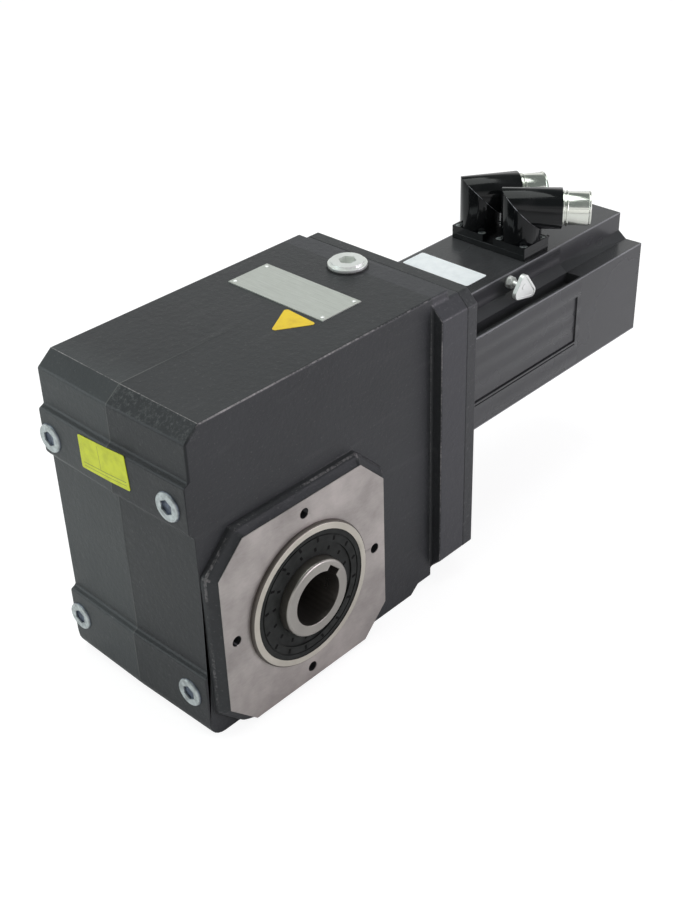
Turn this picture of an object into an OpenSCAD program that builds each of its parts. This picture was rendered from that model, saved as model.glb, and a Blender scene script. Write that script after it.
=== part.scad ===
// Right-angle servo gearmotor: bevel and spur reduction to a keyed hollow shaft.
// Origin: the hollow shaft's axis at the middle plane of the motor.
// +X runs along the motor, -Y out of the output flange, +Z up. Millimetres.

/* [Gear housing] */
// Width of the housing across the hollow shaft
body_w = 126; // [124:1:132]
// Hollow shaft axis to the front panel
body_front = 72.5; // [72:0.5:78]
// Hollow shaft axis to the top face
body_top = 143; // [140:0.5:150]
// Hollow shaft axis to the foot face
body_bottom = 69; // [69:0.5:74]
// Thickness of the cast walls
wall = 9; // [8:0.5:10]
// How far the two front bands stand out
band_proud = 3.5; // [2:0.5:5]
// Height of the upper front band
band_h = 35.4; // [32:0.2:38]
// Top face to the upper edge of the upper band
band_drop = 31.6; // [28:0.2:34]
// Foot face to the upper edge of the lower band
low_band_h = 48.6; // [44:0.2:52]
// Length of the sloping edge between front and top
top_slope_x = 10.3; // [6:0.1:14]
// Drop of that edge
top_slope_z = 8.3; // [6:0.1:12]
// Rounding of the lower front edge
foot_round = 11; // [8:1:14]

/* [Motor flange] */
// Hollow shaft axis to the rear face of the cast flange
flange_x = 144.6; // [144:0.2:150]
// Thickness of the cast flange
flange_t = 23.7; // [20:0.1:26]
// Width of the flange
flange_w = 142.4; // [140:0.2:150]
// Hollow shaft axis to the flange's upper edge
flange_top = 138.1; // [136:0.1:139]
// Hollow shaft axis to the flange's lower edge
flange_bottom = 56; // [54:0.5:60]
// Corner chamfer of the flange
flange_cut = 8.2; // [6:0.1:10]
// Thickness of the adapter plate
adapter_t = 9.4; // [9:0.1:12]

/* [Output pad] */
// Side of the square output pad
pad_w = 133; // [130:0.5:136]
// Corner chamfer of the pad
pad_cut = 19.3; // [16:0.1:22]
// How far the pad stands out of the housing
pad_proud = 8.8; // [8:0.1:11]
// Spread of the pad's cast edge around its machined face
pad_edge = 5.5; // [3:0.5:6]
// Circle of the threaded holes
pad_pcd = 115; // [113:0.5:117]
// Core diameter of the M8 threads
tapped_d = 6.8; // [6.6:0.1:7]
// Depth of the threaded holes
tapped_depth = 15; // [12:1:16]
// Outside diameter of the centring ring
spigot_d = 95; // [94:0.5:97]
// Height of the centring ring
spigot_h = 3; // [2.6:0.1:4]

/* [Output shaft] */
// Bore of the hollow shaft
hollow_bore = 35; // [32:1:36]
// Hollow shaft diameter in its bearings
hollow_od = 50; // [50:1:50]
// Overall length of the hollow shaft
hollow_len = 160; // [158:1:170]
// Keyway width
keyway_w = 10; // [8:1:12]
// Keyway depth beyond the bore
keyway_depth = 3.3; // [2.8:0.1:3.8]
// Direction of the keyway at rest
keyway_angle = 45; // [0:5:90]
// Step of the shaft inside its bearings
hollow_step = 2; // [1.5:0.1:2.5]

/* [Gear train] */
// Module of the spur gears
spur_module = 2; // [2:1:2]
// Teeth of the output gear
output_teeth = 57; // [55:2:57]
// Teeth of its pinion
pinion_teeth = 15; // [15:2:15]
// Face width of the output gear
spur_face = 20; // [16:1:22]
// Module of the bevel gears at the outer end
bevel_module = 2.4; // [2.2:0.1:2.4]
// Teeth of the crown wheel
crown_teeth = 35; // [33:2:35]
// Teeth of the bevel pinion
bevel_teeth = 11; // [11:1:12]
// Face width of the bevel gears
bevel_face = 13; // [10:1:14]
// Height of the motor axis over the hollow shaft axis
motor_z = 56; // [54:0.5:58]

/* [Servo motor] */
// Half width of the motor over its side panels
motor_half_w = 53.8; // [53:0.2:58]
// Half height of the motor over its roofs
motor_half_h = 52.5; // [52:0.5:56]
// Half height of the side panels
panel_half_h = 34.3; // [32:0.2:36]
// Half width of the raised roof
roof_half_w = 34.2; // [32:0.2:36]
// Length of the front bearing shield
shield_len = 12; // [10:1:14]
// Length of the motor's extruded frame
frame_len = 125.5; // [125:0.5:135]
// Length of the rear cover
cover_len = 72.7; // [60:0.1:80]
// Bore of the frame
frame_bore = 92; // [90:0.5:93]
// Rotor diameter over the magnets
rotor_d = 62; // [58:1:63]
// Gap between rotor and stator
air_gap = 1; // [0.6:0.1:1.5]

/* [Plug connectors] */
// Swivel axes of the connectors to the rear end of the frame
plug_inset = 24; // [20:0.5:29]
// Distance between the two swivel axes
plug_pitch = 35.5; // [35:0.5:38]
// Diameter of the elbows
elbow_d = 27.6; // [26:0.2:28]
// Height of the plug axis over the motor roof
plug_h = 31; // [29:0.5:34]
// Swivel axis to the end of the black elbow
elbow_reach = 26.5; // [25:0.5:30]
// Swivel axis to the end of the plug shell
shell_reach = 45.5; // [42:0.5:50]
// Diameter of the plug shell
shell_d = 22.4; // [20:0.1:23]
// Direction of the power plug from the motor axis
power_dir = -52; // [-60:1:-42]
// Direction of the feedback plug from the motor axis
signal_dir = -36; // [-36:1:-20]

/* [Fits] */
// Radial clearance of shafts, screws and rings in their seats
slip = 0.05; // [0.02:0.01:0.1]
// Clearance between pieces that turn past each other
turn_gap = 0.3; // [0.3:0.05:0.5]
// Gap between rolling balls and their raceways
race_gap = 0.2; // [0.1:0.05:0.3]
// Thinning of each spur tooth at the pitch circle
spur_slack = 0.2; // [0.15:0.05:0.3]
// Thinning of each bevel tooth at its outer end
bevel_slack = 0.4; // [0.35:0.05:0.5]

/* [Hidden] */

$fn = 64;
eps = 0.01;
pressure_angle = 20;

// Colours
paint = [0.17, 0.17, 0.19];
black = [0.09, 0.09, 0.10];
steel = [0.62, 0.60, 0.58];
zinc = [0.80, 0.80, 0.80];
rubber = [0.20, 0.20, 0.20];
copper = [0.72, 0.42, 0.22];
lamination = [0.45, 0.45, 0.48];

// Housing planes across the shaft
side_y = body_w / 2;
cover_y = side_y - wall;
pad_y = side_y + pad_proud;
spigot_y = pad_y + spigot_h;
pad_edge_top = 0.5;
pad_edge_foot = 3.5;
pad_base_w = pad_w + 2 * pad_edge;
pad_base_cut = pad_cut + (2 - sqrt(2)) * pad_edge;
pad_base_floor = body_bottom - 0.6;
cavity_front = -(body_front - wall);
cavity_bottom = -(body_bottom - wall);
cavity_top = body_top - wall;
flange_front = flange_x - flange_t;

// Gear train centres
spur_centre = spur_module * (output_teeth + pinion_teeth) / 2;
mid_x = sqrt(spur_centre * spur_centre - motor_z * motor_z);
mesh_angle = atan2(motor_z, mid_x);
gear_r = spur_module * output_teeth / 2;
pinion_r = spur_module * pinion_teeth / 2;
spur_shift = 0.25;
stub = 0.8;
root_depth = 1.05;
bevel_shift = 0.3;
bevel_angle = atan2(bevel_teeth, crown_teeth);
cone_len = bevel_module * sqrt(pow(bevel_teeth, 2) + pow(crown_teeth, 2)) / 2;
crown_r = bevel_module * crown_teeth / 2;
bevel_r = bevel_module * bevel_teeth / 2;
gear_outer_y = -34;
gear_inner_y = gear_outer_y + spur_face;

// Bearings: bore radius, outside radius, width
output_brg = [hollow_od / 2, hollow_od / 2 + 15, 16];
mid_brg = [10, 21, 12];
pinion_brg = [12.5, 26, 15];
motor_brg = [10, 21, 12];
rear_brg = motor_brg;
ball_spacing = 1.9;
lip_t = 2;
circlip_t = 2.5;
circlip_depth = 1.8;
seal_t = 8;
output_brg_in = side_y - 1 - output_brg[2];
mid_brg_in = output_brg_in;
boss_y = output_brg_in - lip_t;
seal_r = output_brg[1] + 2.5;
seal_in = spigot_y - 0.5 - seal_t;
output_boss_r = output_brg[1] + 10;
mid_boss_r = mid_brg[1] + 8;
hub_r = spigot_d / 2 + 4;

// Shaft steps
hollow_r = hollow_od / 2;
gear_seat_r = hollow_r + hollow_step;
collar_r = gear_seat_r + 3;
collar_w = 6;
hollow_mid_r = gear_seat_r + 1;
mid_shaft_r = mid_brg[0] + 3;
crown_seat_r = mid_brg[0] + 2;
crown_back_y = 22;
crown_hub_y = 34;
crown_front_y = 8;
key_w = 8;
key_h = 7;
key_sunk = 4;
spacer_wall = 3.5;

// Pinion shaft along the motor axis
heel_x = mid_x + cone_len * cos(bevel_angle);
toe_x = mid_x + (cone_len - bevel_face) * cos(bevel_angle);
pinion_brg_x = [97, 124];
pinion_boss_x = 95;
pinion_boss_r = pinion_brg[1] + 8;
nose_r = 7;
nose_x = 130;
pinion_end_x = flange_x + adapter_t - 1;
locknut_x = pinion_brg_x[1] + pinion_brg[2];
locknut_t = 5;
locknut_r = 19;
shaft_seal_r = 23.5;
shaft_seal_t = 7;
adapter_x = flange_x + adapter_t;

// Motor planes
frame_x = adapter_x + shield_len;
rear_x = frame_x + frame_len;
end_x = rear_x + cover_len;
motor_brg_x = adapter_x + 6;
shield_spigot = 10;
rear_shield_t = lip_t + rear_brg[2] + 1.5;
rear_shield_x = rear_x - rear_shield_t;
rear_brg_x = rear_shield_x + lip_t;
front_turns = 20;
rear_turns = 29.5;
core_x = frame_x + front_turns;
core_len = frame_len - front_turns - rear_turns;
roof_z = motor_z + motor_half_h;
plug_x = rear_x - plug_inset;
rotor_core_r = rotor_d / 2 - 4;
stator_r = rotor_d / 2 + air_gap;
resolver_x = rear_x + 5.5;
resolver_len = 12;
shaft_end_x = resolver_x + resolver_len + 3;
base_h = 4.5;
plug_flange_h = 5;
plug_flange_w = 27;
plug_screw_pitch = 20;
swivel_r = 11;
swivel_h = 6;
plug_base_z = roof_z + base_h;
plug_flange_z = plug_base_z + plug_flange_h;
plug_axis_z = roof_z + plug_h;

// Places of screws
front_screw_y = [55, -48];
front_screw_z = [92, -40];
front_screw_r = 9.4;
front_shank = 6.5;
side_screw_xz = [[cavity_front + 7.5, cavity_bottom + 7.5], [96, cavity_bottom + 7.5],
                 [96, cavity_top - 7.5], [cavity_front + 7.5, cavity_top - 7.5],
                 [20, cavity_top - 7.5], [cavity_front + 7.5, 37]];
side_boss_r = 8;
side_screw_r = 3;
adapter_screw_y = 54;
adapter_screw_z = [-44, 126];
adapter_screw_r = 4;
mount_screw_yz = [42, 26];
mount_screw_r = 3;
plug_xy = [121.1, 5.4];

// ---------- Shared shapes ----------

// Cylinder along Y from y0 to y1 about the point (x, z)
module y_cyl(r, y0, y1, x = 0, z = 0) {
    translate([x, y1, z]) rotate([90, 0, 0]) cylinder(r = r, h = y1 - y0);
}

// Cylinder along X from x0 to x1 about the point (y, z)
module x_cyl(r, x0, x1, y = 0, z = motor_z) {
    translate([x0, y, z]) rotate([0, 90, 0]) cylinder(r = r, h = x1 - x0);
}

// Tube along Y
module y_tube(ro, ri, y0, y1, x = 0, z = 0) {
    difference() {
        y_cyl(ro, y0, y1, x, z);
        y_cyl(ri, y0 - 1, y1 + 1, x, z);
    }
}

// Tube along X
module x_tube(ro, ri, x0, x1, y = 0, z = motor_z) {
    difference() {
        x_cyl(ro, x0, x1, y, z);
        x_cyl(ri, x0 - 1, x1 + 1, y, z);
    }
}

// Both copies of a shape on the two sides of the housing
module both_sides() {
    children();
    mirror([0, 1, 0]) children();
}

// Extrudes a drawing in X and Z between two planes across Y
module across(y0, y1) {
    translate([0, y1, 0]) rotate([90, 0, 0]) linear_extrude(height = y1 - y0) children();
}

// Extrudes a drawing in Y and height over the motor axis between two planes along X
module along(x0, x1) {
    translate([x0, 0, motor_z]) rotate([90, 0, 90]) linear_extrude(height = x1 - x0) children();
}

// Square with cut corners
module cut_square(w, h, cut) {
    polygon([[-w / 2, -h / 2 + cut], [-w / 2 + cut, -h / 2], [w / 2 - cut, -h / 2],
             [w / 2, -h / 2 + cut], [w / 2, h / 2 - cut], [w / 2 - cut, h / 2],
             [-w / 2 + cut, h / 2], [-w / 2, h / 2 - cut]]);
}

// ---------- Bearings, axis along Z, from z = 0 up ----------

function ball_r(b) = 0.28 * (b[1] - b[0]);
function ball_pitch(b) = (b[0] + b[1]) / 2;
function ball_count(b) = floor(2 * PI * ball_pitch(b) / (2 * ball_r(b) * ball_spacing));
land = 0.6;

module race_groove(b) {
    translate([ball_pitch(b), b[2] / 2]) circle(r = ball_r(b) + race_gap, $fn = 48);
}

module outer_ring(b) {
    rotate_extrude() difference() {
        translate([ball_pitch(b) + land * ball_r(b), 0])
            square([b[1] - ball_pitch(b) - land * ball_r(b), b[2]]);
        race_groove(b);
    }
}

module inner_ring(b) {
    rotate_extrude() difference() {
        translate([b[0], 0]) square([ball_pitch(b) - land * ball_r(b) - b[0], b[2]]);
        race_groove(b);
    }
}

module balls(b) {
    cage_t = land / 2 * ball_r(b);
    cage_w = 2.3 * ball_r(b);
    for (i = [0:ball_count(b) - 1])
        rotate([0, 0, i * 360 / ball_count(b)])
            translate([ball_pitch(b), 0, b[2] / 2]) sphere(r = ball_r(b), $fn = 16);
    difference() {
        rotate_extrude($fn = 32) translate([ball_pitch(b) - cage_t, (b[2] - cage_w) / 2])
            square([2 * cage_t, cage_w]);
        for (i = [0:ball_count(b) - 1])
            rotate([0, 0, i * 360 / ball_count(b)])
                translate([ball_pitch(b) - 3 * cage_t, 0, b[2] / 2]) rotate([0, 90, 0])
                    cylinder(r = ball_r(b) + race_gap / 2, h = 6 * cage_t, $fn = 24);
    }
}

// Places a bearing along +Y from y, or along +X from x
module at_y(y, x = 0, z = 0) {
    translate([x, y, z]) rotate([-90, 0, 0]) children();
}

module at_x(x) {
    translate([x, 0, motor_z]) rotate([0, 90, 0]) children();
}

// ---------- Gear teeth ----------

function inv_deg(a) = tan(a) * 180 / PI - a;

// Half the angle of a tooth at radius rho, for pitch radius r and z teeth
function half_tooth(rho, r, z, slack, shift) =
    let (rb = r * cos(pressure_angle))
    90 / z + (shift * tan(pressure_angle) - slack / 2) / r * 180 / PI
    + inv_deg(pressure_angle) - (rho > rb ? inv_deg(acos(rb / rho)) : 0);

// Radii at which a flank is drawn, from root to tip
function flank_radii(r, m, shift) =
    let (root = r - (root_depth * m - shift), tip = r + stub * m + shift,
         rb = r * cos(pressure_angle))
    [root, max(rb, root + 0.25 * (tip - root)), root + 0.62 * (tip - root), tip];

module spur_profile(r, m, z, slack, shift, phase) {
    rr = flank_radii(r, m, shift);
    polygon([for (i = [0:z - 1]) for (j = [0:7])
        let (k = j < 4 ? j : 7 - j, side = j < 4 ? -1 : 1,
             a = phase + i * 360 / z + side * half_tooth(rr[k], r, z, slack, shift))
        rr[k] * [cos(a), sin(a)]]);
}

// Point on a cone through the apex: cone distance, cone angle, turn
function cone_point(len, cone, turn) =
    len * [sin(cone) * cos(turn), sin(cone) * sin(turn), cos(cone)];

// Toothed conical ring about +Z with its apex at the origin, as one closed surface
module bevel_ring(z, cone, shift, phase, back) {
    r_back = cone_len * tan(cone);
    z_back = z / cos(cone);
    offs = [for (rho = flank_radii(r_back, bevel_module, shift)) rho - r_back];
    root_cone = cone + atan2(offs[0], cone_len);
    pts = [for (i = [0:z - 1]) for (j = [0:7])
        let (k = j < 4 ? j : 7 - j, side = j < 4 ? -1 : 1, a = offs[k],
             c = cone + atan2(a, cone_len), rho = r_back + a,
             half = half_tooth(rho, r_back, z_back, bevel_slack, shift),
             turn = half * rho / (cone_len * sin(c)))
        [c, phase + i * 360 / z + side * turn]];
    n = len(pts);
    inner = cone_len - bevel_face;
    points = [for (p = pts) each [cone_point(inner, p[0], p[1]),
                                  cone_point(cone_len, p[0], p[1]),
                                  cone_point(cone_len, root_cone - back, p[1]),
                                  cone_point(inner, root_cone - back, p[1])]];
    faces = [for (i = [0:n - 1]) let (a = 4 * i, b = 4 * ((i + 1) % n))
             for (k = [0:3]) let (m = (k + 1) % 4)
             each [[a + k, b + m, b + k], [a + k, a + m, b + m]]];
    polyhedron(points = points, faces = faces, convexity = 10);
}

// ---------- Housing ----------

// Side view of the casting, without the bands and the flange
module housing_profile() {
    polygon(concat(
        [[-body_front, body_top - top_slope_z], [-body_front + top_slope_x, body_top],
         [flange_x - 9, body_top], [flange_x - 9, -flange_bottom + 6],
         [flange_front + 1, -flange_bottom + 6], [flange_front + 1, -body_bottom + 5],
         [flange_front - 12, -body_bottom + 5], [flange_front - 18, -body_bottom]],
        [for (i = [0:6]) let (a = 270 - 15 * i)
            [-body_front + foot_round + foot_round * cos(a),
             -body_bottom + foot_round + foot_round * sin(a)]]));
}

// Side view of a front band with sloping edges
module band_profile(z0, z1) {
    polygon([[-body_front + 1, z0], [-body_front, z0],
             [-body_front - band_proud, z0 + band_proud],
             [-body_front - band_proud, z1 - band_proud / 2],
             [-body_front, z1], [-body_front + 1, z1]]);
}

module low_band_profile() {
    top = -body_bottom + low_band_h;
    polygon([[-body_front + foot_round, -body_bottom],
             [-body_front - band_proud + foot_round, -body_bottom],
             [-body_front - band_proud, -body_bottom + foot_round],
             [-body_front - band_proud, top - band_proud / 2],
             [-body_front, top], [-body_front + foot_round, top]]);
}

module flange_profile() {
    mid = (flange_top - flange_bottom) / 2 - motor_z;
    translate([0, mid]) cut_square(flange_w, flange_top + flange_bottom, flange_cut);
}

module cavity_profile() {
    polygon([[cavity_front, cavity_bottom + 3], [cavity_front + 3, cavity_bottom],
             [cavity_rear, cavity_bottom], [cavity_rear, cavity_top - 3],
             [cavity_rear - 3, cavity_top], [cavity_front + 8, cavity_top],
             [cavity_front, cavity_top - 6]]);
}
cavity_rear = 103;
ledge = 5;

// Outline of the side cover, grown by a given amount
module cover_outline(grow) {
    c = 8;
    x0 = cavity_front - ledge - grow;
    x1 = cavity_rear + ledge + grow;
    z0 = cavity_bottom - ledge - grow;
    z1 = cavity_top + ledge + grow;
    polygon([[x0, z0 + c], [x0 + c, z0], [x1 - c, z0], [x1, z0 + c],
             [x1, z1 - c], [x1 - c, z1], [x0 + c, z1], [x0, z1 - c]]);
}

// Room for a hollow shaft bearing, its circlip and its seal, on the +Y side
module output_bore() {
    y_cyl(output_brg[1] - 4, boss_y - 1, spigot_y + 1);
    y_cyl(output_brg[1], output_brg_in, spigot_y + 1);
    y_cyl(output_brg[1] + circlip_depth, side_y - 1, side_y - 1 + circlip_t);
    y_cyl(seal_r, seal_in, spigot_y + 1);
}

module mid_bore() {
    y_cyl(mid_brg[1], boss_y - 1, mid_brg_in + mid_brg[2], mid_x, motor_z);
}

module bearing_bosses() {
    y_cyl(output_boss_r, boss_y, cover_y + 1);
    y_cyl(mid_boss_r, boss_y, cover_y + 1, mid_x, motor_z);
}

module gear_housing() color(paint) difference() {
    union() {
        difference() {
            union() {
                across(-side_y, side_y) housing_profile();
                across(-side_y, side_y)
                    band_profile(body_top - band_drop - band_h, body_top - band_drop);
                across(-side_y, side_y) low_band_profile();
                along(flange_front, flange_x) flange_profile();
            }
            across(-cover_y, side_y + 1) cavity_profile();
            rear_pocket();
        }
        output_pad();
        y_cyl(spigot_d / 2, -spigot_y, -pad_y + 1);
        mirror([0, 1, 0]) bearing_bosses();
        x_cyl(pinion_boss_r, pinion_boss_x, flange_x);
        for (p = side_screw_xz) y_cyl(side_boss_r, cover_y - 24, cover_y, p[0], p[1]);
        for (y = [-1, 1]) for (z = adapter_screw_z)
            x_cyl(side_boss_r + 1, flange_x - 20, flange_x, y * adapter_screw_y, z);
        for (y = front_screw_y) for (z = front_screw_z)
            x_cyl(side_boss_r + 1, -body_front + 1, cavity_front + 8, y, z);
    }
    across(cover_y - gasket_t, side_y + 1) cover_outline(slip);
    mirror([0, 1, 0]) output_bore();
    mirror([0, 1, 0]) mid_bore();
    pad_holes();
    x_cyl(pinion_brg[1] - 3, pinion_boss_x - 1, flange_x + 1);
    x_cyl(pinion_brg[1], pinion_boss_x - 1, pinion_brg_x[0] + pinion_brg[2]);
    x_cyl(pinion_brg[1], pinion_brg_x[1], flange_x + 1);
    for (p = side_screw_xz)
        y_cyl(side_screw_r + slip, cover_y - 16, cover_y + 1, p[0], p[1]);
    for (y = [-1, 1]) for (z = adapter_screw_z)
        x_cyl(adapter_screw_r + slip, flange_x - 16, flange_x + 1, y * adapter_screw_y, z);
    for (y = front_screw_y) for (z = front_screw_z)
        x_cyl(6 + slip, -body_front - band_proud - 1,
              -body_front - band_proud + front_shank + 0.5, y, z);
    translate([plug_xy[0], plug_xy[1], cavity_top - wall]) cylinder(r = 10 + slip, h = 2 * wall + 1);
}
gasket_t = 0.8;

// Hollow between the bearing boss and the flange, open to the motor side
module rear_pocket() {
    difference() {
        along(flange_front - 4, flange_x + 1) translate([0, -13])
            square([flange_w - 36, flange_top + flange_bottom - 34], center = true);
        x_cyl(pinion_boss_r, flange_front - 5, flange_x + 2);
    }
}

// Machined face on a cast pad, whose edge spreads towards the housing's side
module output_pad() {
    across(-pad_y, -side_y + 1) cut_square(pad_w, pad_w, pad_cut);
    hull() {
        across(-pad_y + pad_edge_top, -side_y) cut_square(pad_w - 1, pad_w - 1, pad_cut);
        across(-side_y - pad_edge_foot, -side_y + 1) intersection() {
            cut_square(pad_base_w, pad_base_w, pad_base_cut);
            translate([-pad_base_w, -pad_base_floor]) square(2 * pad_base_w);
        }
    }
}

module pad_holes() {
    for (a = [0, 90, 180, 270])
        translate([pad_pcd / 2 * cos(a), -pad_y + tapped_depth, pad_pcd / 2 * sin(a)])
            rotate([90, 0, 0]) cylinder(r = tapped_d / 2, h = tapped_depth + 1);
}

module side_cover() color(paint) difference() {
    union() {
        across(cover_y, side_y) cover_outline(0);
        bearing_bosses();
        y_cyl(hub_r + 4, side_y - 1, pad_y);
        y_cyl(spigot_d / 2, pad_y - 1, spigot_y);
    }
    output_bore();
    mid_bore();
    for (p = side_screw_xz) {
        y_cyl(side_screw_r + slip, cover_y - 1, side_y + 1, p[0], p[1]);
        y_cyl(5 + slip, side_y - 6.3, side_y + 1, p[0], p[1]);
    }
}

module side_cover_gasket() color(rubber) difference() {
    across(cover_y - gasket_t, cover_y) cover_outline(0);
    across(cover_y - gasket_t - 1, cover_y + 1) difference() {
        cavity_profile();
        for (p = side_screw_xz) translate(p) circle(r = side_boss_r);
    }
    for (p = side_screw_xz)
        y_cyl(side_screw_r + slip, cover_y - 2, cover_y + 1, p[0], p[1]);
}

// Socket head screw along +Z: underside of the head at z = 0
module cap_screw(r, shank, head_r, head_h, socket_r) {
    difference() {
        union() {
            translate([0, 0, -shank]) cylinder(r = r, h = shank + 1);
            cylinder(r = head_r, h = head_h);
        }
        translate([0, 0, head_h / 2]) cylinder(r = socket_r, h = head_h, $fn = 6);
    }
}

module side_cover_screws() color(zinc)
    for (p = side_screw_xz)
        at_y(side_y - 6.3, p[0], p[1]) cap_screw(side_screw_r, 16, 5, 6, 2.9);

module front_pad_screws() color(zinc)
    for (y = front_screw_y) for (z = front_screw_z)
        translate([-body_front - band_proud, y, z]) rotate([0, -90, 0])
            front_screw();

module front_screw() {
    difference() {
        union() {
            translate([0, 0, -front_shank]) cylinder(r = 6, h = front_shank + 1);
            cylinder(r1 = front_screw_r, r2 = front_screw_r - 0.8, h = 1.6);
        }
        translate([0, 0, 0.2]) cylinder(r = 5, h = 3, $fn = 6);
    }
}

module oil_plug() color(zinc)
    translate([plug_xy[0], plug_xy[1], body_top]) difference() {
        union() {
            translate([0, 0, -12]) cylinder(r = 10, h = 13);
            translate([0, 0, washer_t]) cylinder(r = 12.4, h = 1.8);
            translate([0, 0, washer_t + 1.8 - eps]) cylinder(r = 10.6, h = 1.6);
        }
        translate([0, 0, -3]) cylinder(r = 5.8, h = 10, $fn = 6);
    }
washer_t = 1;

module oil_plug_seal() color(rubber)
    translate([plug_xy[0], plug_xy[1], body_top]) difference() {
        cylinder(r = 13, h = washer_t);
        translate([0, 0, -1]) cylinder(r = 10 + slip, h = washer_t + 2);
    }

nameplate_x = 58.3;
nameplate_y = -34.1;
nameplate_w = 32.6;
nameplate_len = 79.8;
nameplate_t = 0.6;
module nameplate() color(zinc)
    translate([nameplate_x, nameplate_y, body_top])
        linear_extrude(height = nameplate_t) square([nameplate_w, nameplate_len]);

// ---------- Output shaft ----------

module output_bearing_outer_rings() color(steel)
    both_sides() at_y(output_brg_in) outer_ring(output_brg);

module output_bearing_inner_rings() color(steel)
    both_sides() at_y(output_brg_in) inner_ring(output_brg);

module output_bearing_balls() color(steel)
    both_sides() at_y(output_brg_in) balls(output_brg);

module output_bearing_circlips() color(steel)
    both_sides() difference() {
        y_tube(output_brg[1] + circlip_depth, output_brg[1] - 3.5,
               side_y - 1, side_y - 1 + circlip_t);
        translate([0, side_y, -output_brg[1]]) cube([14, 2 * circlip_t + 2, 12], center = true);
    }

module output_shaft_circlips() color(steel)
    both_sides() difference() {
        y_tube(hollow_r + 2.8, hollow_r - 1.2, side_y - 1, side_y + 1);
        translate([0, side_y, -hollow_r]) cube([10, 5, 9], center = true);
    }

// Lip seal pressed into the bore, running on the shaft
module output_shaft_seals() color(rubber)
    both_sides() difference() {
        union() {
            y_tube(seal_r, hollow_r + 9, seal_in, seal_in + seal_t);
            y_tube(hollow_r + 10, hollow_r + turn_gap, seal_in + 2, seal_in + seal_t - 1);
        }
        y_tube(seal_r - 3, seal_r - 4, seal_in + seal_t - 0.6, seal_in + seal_t + 1);
    }

module hollow_shaft() color(steel) difference() {
    half = hollow_len / 2;
    rotate([90, 0, 0]) rotate_extrude() polygon([
        [hollow_bore / 2, -half], [hollow_r - 1, -half], [hollow_r, -half + 1],
        [hollow_r, -output_brg_in], [hollow_mid_r, -output_brg_in],
        [hollow_mid_r, -gear_inner_y - collar_w], [collar_r, -gear_inner_y - collar_w],
        [collar_r, -gear_inner_y], [gear_seat_r, -gear_inner_y],
        [gear_seat_r, output_brg_in], [hollow_r, output_brg_in], [hollow_r, half - 1],
        [hollow_r - 1, half], [hollow_bore / 2, half]]);
    rotate([0, -keyway_angle, 0])
        translate([0, -half - 1, -keyway_w / 2])
            cube([hollow_bore / 2 + keyway_depth, hollow_len + 2, keyway_w]);
    both_sides() y_tube(hollow_r + 1, hollow_r - 1.2 - slip, side_y - 1, side_y + 1 + slip);
}

module output_gear() color(steel) difference() {
    union() {
        across(gear_outer_y, gear_inner_y)
            spur_profile(gear_r, spur_module, output_teeth, spur_slack,
                         -spur_shift * spur_module, mesh_angle);
        y_cyl(gear_seat_r + 9, gear_outer_y - 5, gear_inner_y);
    }
    y_cyl(gear_seat_r, -side_y, side_y);
    difference() {
        y_tube(gear_r - 6, gear_seat_r + 9, gear_outer_y - 1, gear_outer_y + 5);
        y_cyl(gear_seat_r + 9, -side_y, 0);
    }
}

// ---------- Intermediate shaft ----------

module at_mid() {
    translate([mid_x, 0, motor_z]) children();
}

module intermediate_bearing_outer_rings() color(steel)
    at_mid() both_sides() at_y(mid_brg_in) outer_ring(mid_brg);

module intermediate_bearing_inner_rings() color(steel)
    at_mid() both_sides() at_y(mid_brg_in) inner_ring(mid_brg);

module intermediate_bearing_balls() color(steel)
    at_mid() both_sides() at_y(mid_brg_in) balls(mid_brg);

mid_end_y = mid_brg_in + mid_brg[2] - 1;
module intermediate_pinion_shaft() color(steel) at_mid() difference() {
    union() {
        across(gear_outer_y - 1, gear_inner_y + 1)
            spur_profile(pinion_r, spur_module, pinion_teeth, spur_slack,
                         spur_shift * spur_module, mesh_angle + 180 + 180 / pinion_teeth);
        y_cyl(mid_brg[0], -mid_end_y, mid_end_y);
        y_cyl(crown_seat_r, 0, crown_hub_y);
        y_cyl(mid_shaft_r, -mid_brg_in, crown_front_y - 2);
        y_cyl(mid_shaft_r + 2, crown_front_y - 4, crown_front_y);
    }
    translate([-key_w / 2, crown_front_y + 2, crown_seat_r - key_sunk])
        cube([key_w, crown_hub_y, key_h]);
}

module crown_wheel() color(steel) at_mid() difference() {
    union() {
        rotate([-90, 0, 0])
            bevel_ring(crown_teeth, 90 - bevel_angle, -bevel_shift * bevel_module, 0, crown_rim);
        crown_blank();
    }
    y_cyl(crown_seat_r, -1, crown_hub_y + 1);
    translate([-key_w / 2, crown_front_y - 1, crown_seat_r - key_sunk])
        cube([key_w, crown_hub_y, key_h]);
}

crown_rim = 5;

// Solid of the crown wheel behind its teeth
module crown_blank() {
    root = 90 - bevel_angle;
    out = cone_len;
    inn = cone_len - bevel_face;
    sink = crown_rim;
    rotate([-90, 0, 0]) rotate_extrude() polygon([
        [crown_seat_r, crown_front_y], [inn * sin(root) - 5, crown_front_y],
        [inn * sin(root - sink), inn * cos(root - sink)],
        [out * sin(root - sink) - 0.2, out * cos(root - sink) + 0.2],
        [crown_r - 3, crown_back_y], [crown_seat_r + 10, crown_back_y],
        [crown_seat_r + 10, crown_hub_y], [crown_seat_r, crown_hub_y]]);
}

module crown_wheel_key() color(steel) at_mid()
    translate([-key_w / 2, crown_front_y + 2, crown_seat_r - key_sunk])
        cube([key_w, crown_hub_y - crown_front_y - 4, key_h]);

module intermediate_spacer() color(steel) at_mid()
    y_tube(mid_brg[0] + spacer_wall, mid_brg[0], crown_hub_y, mid_brg_in);

// ---------- Bevel pinion shaft ----------

module pinion_bearing_outer_rings() color(steel)
    for (x = pinion_brg_x) at_x(x) outer_ring(pinion_brg);

module pinion_bearing_inner_rings() color(steel)
    for (x = pinion_brg_x) at_x(x) inner_ring(pinion_brg);

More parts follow.
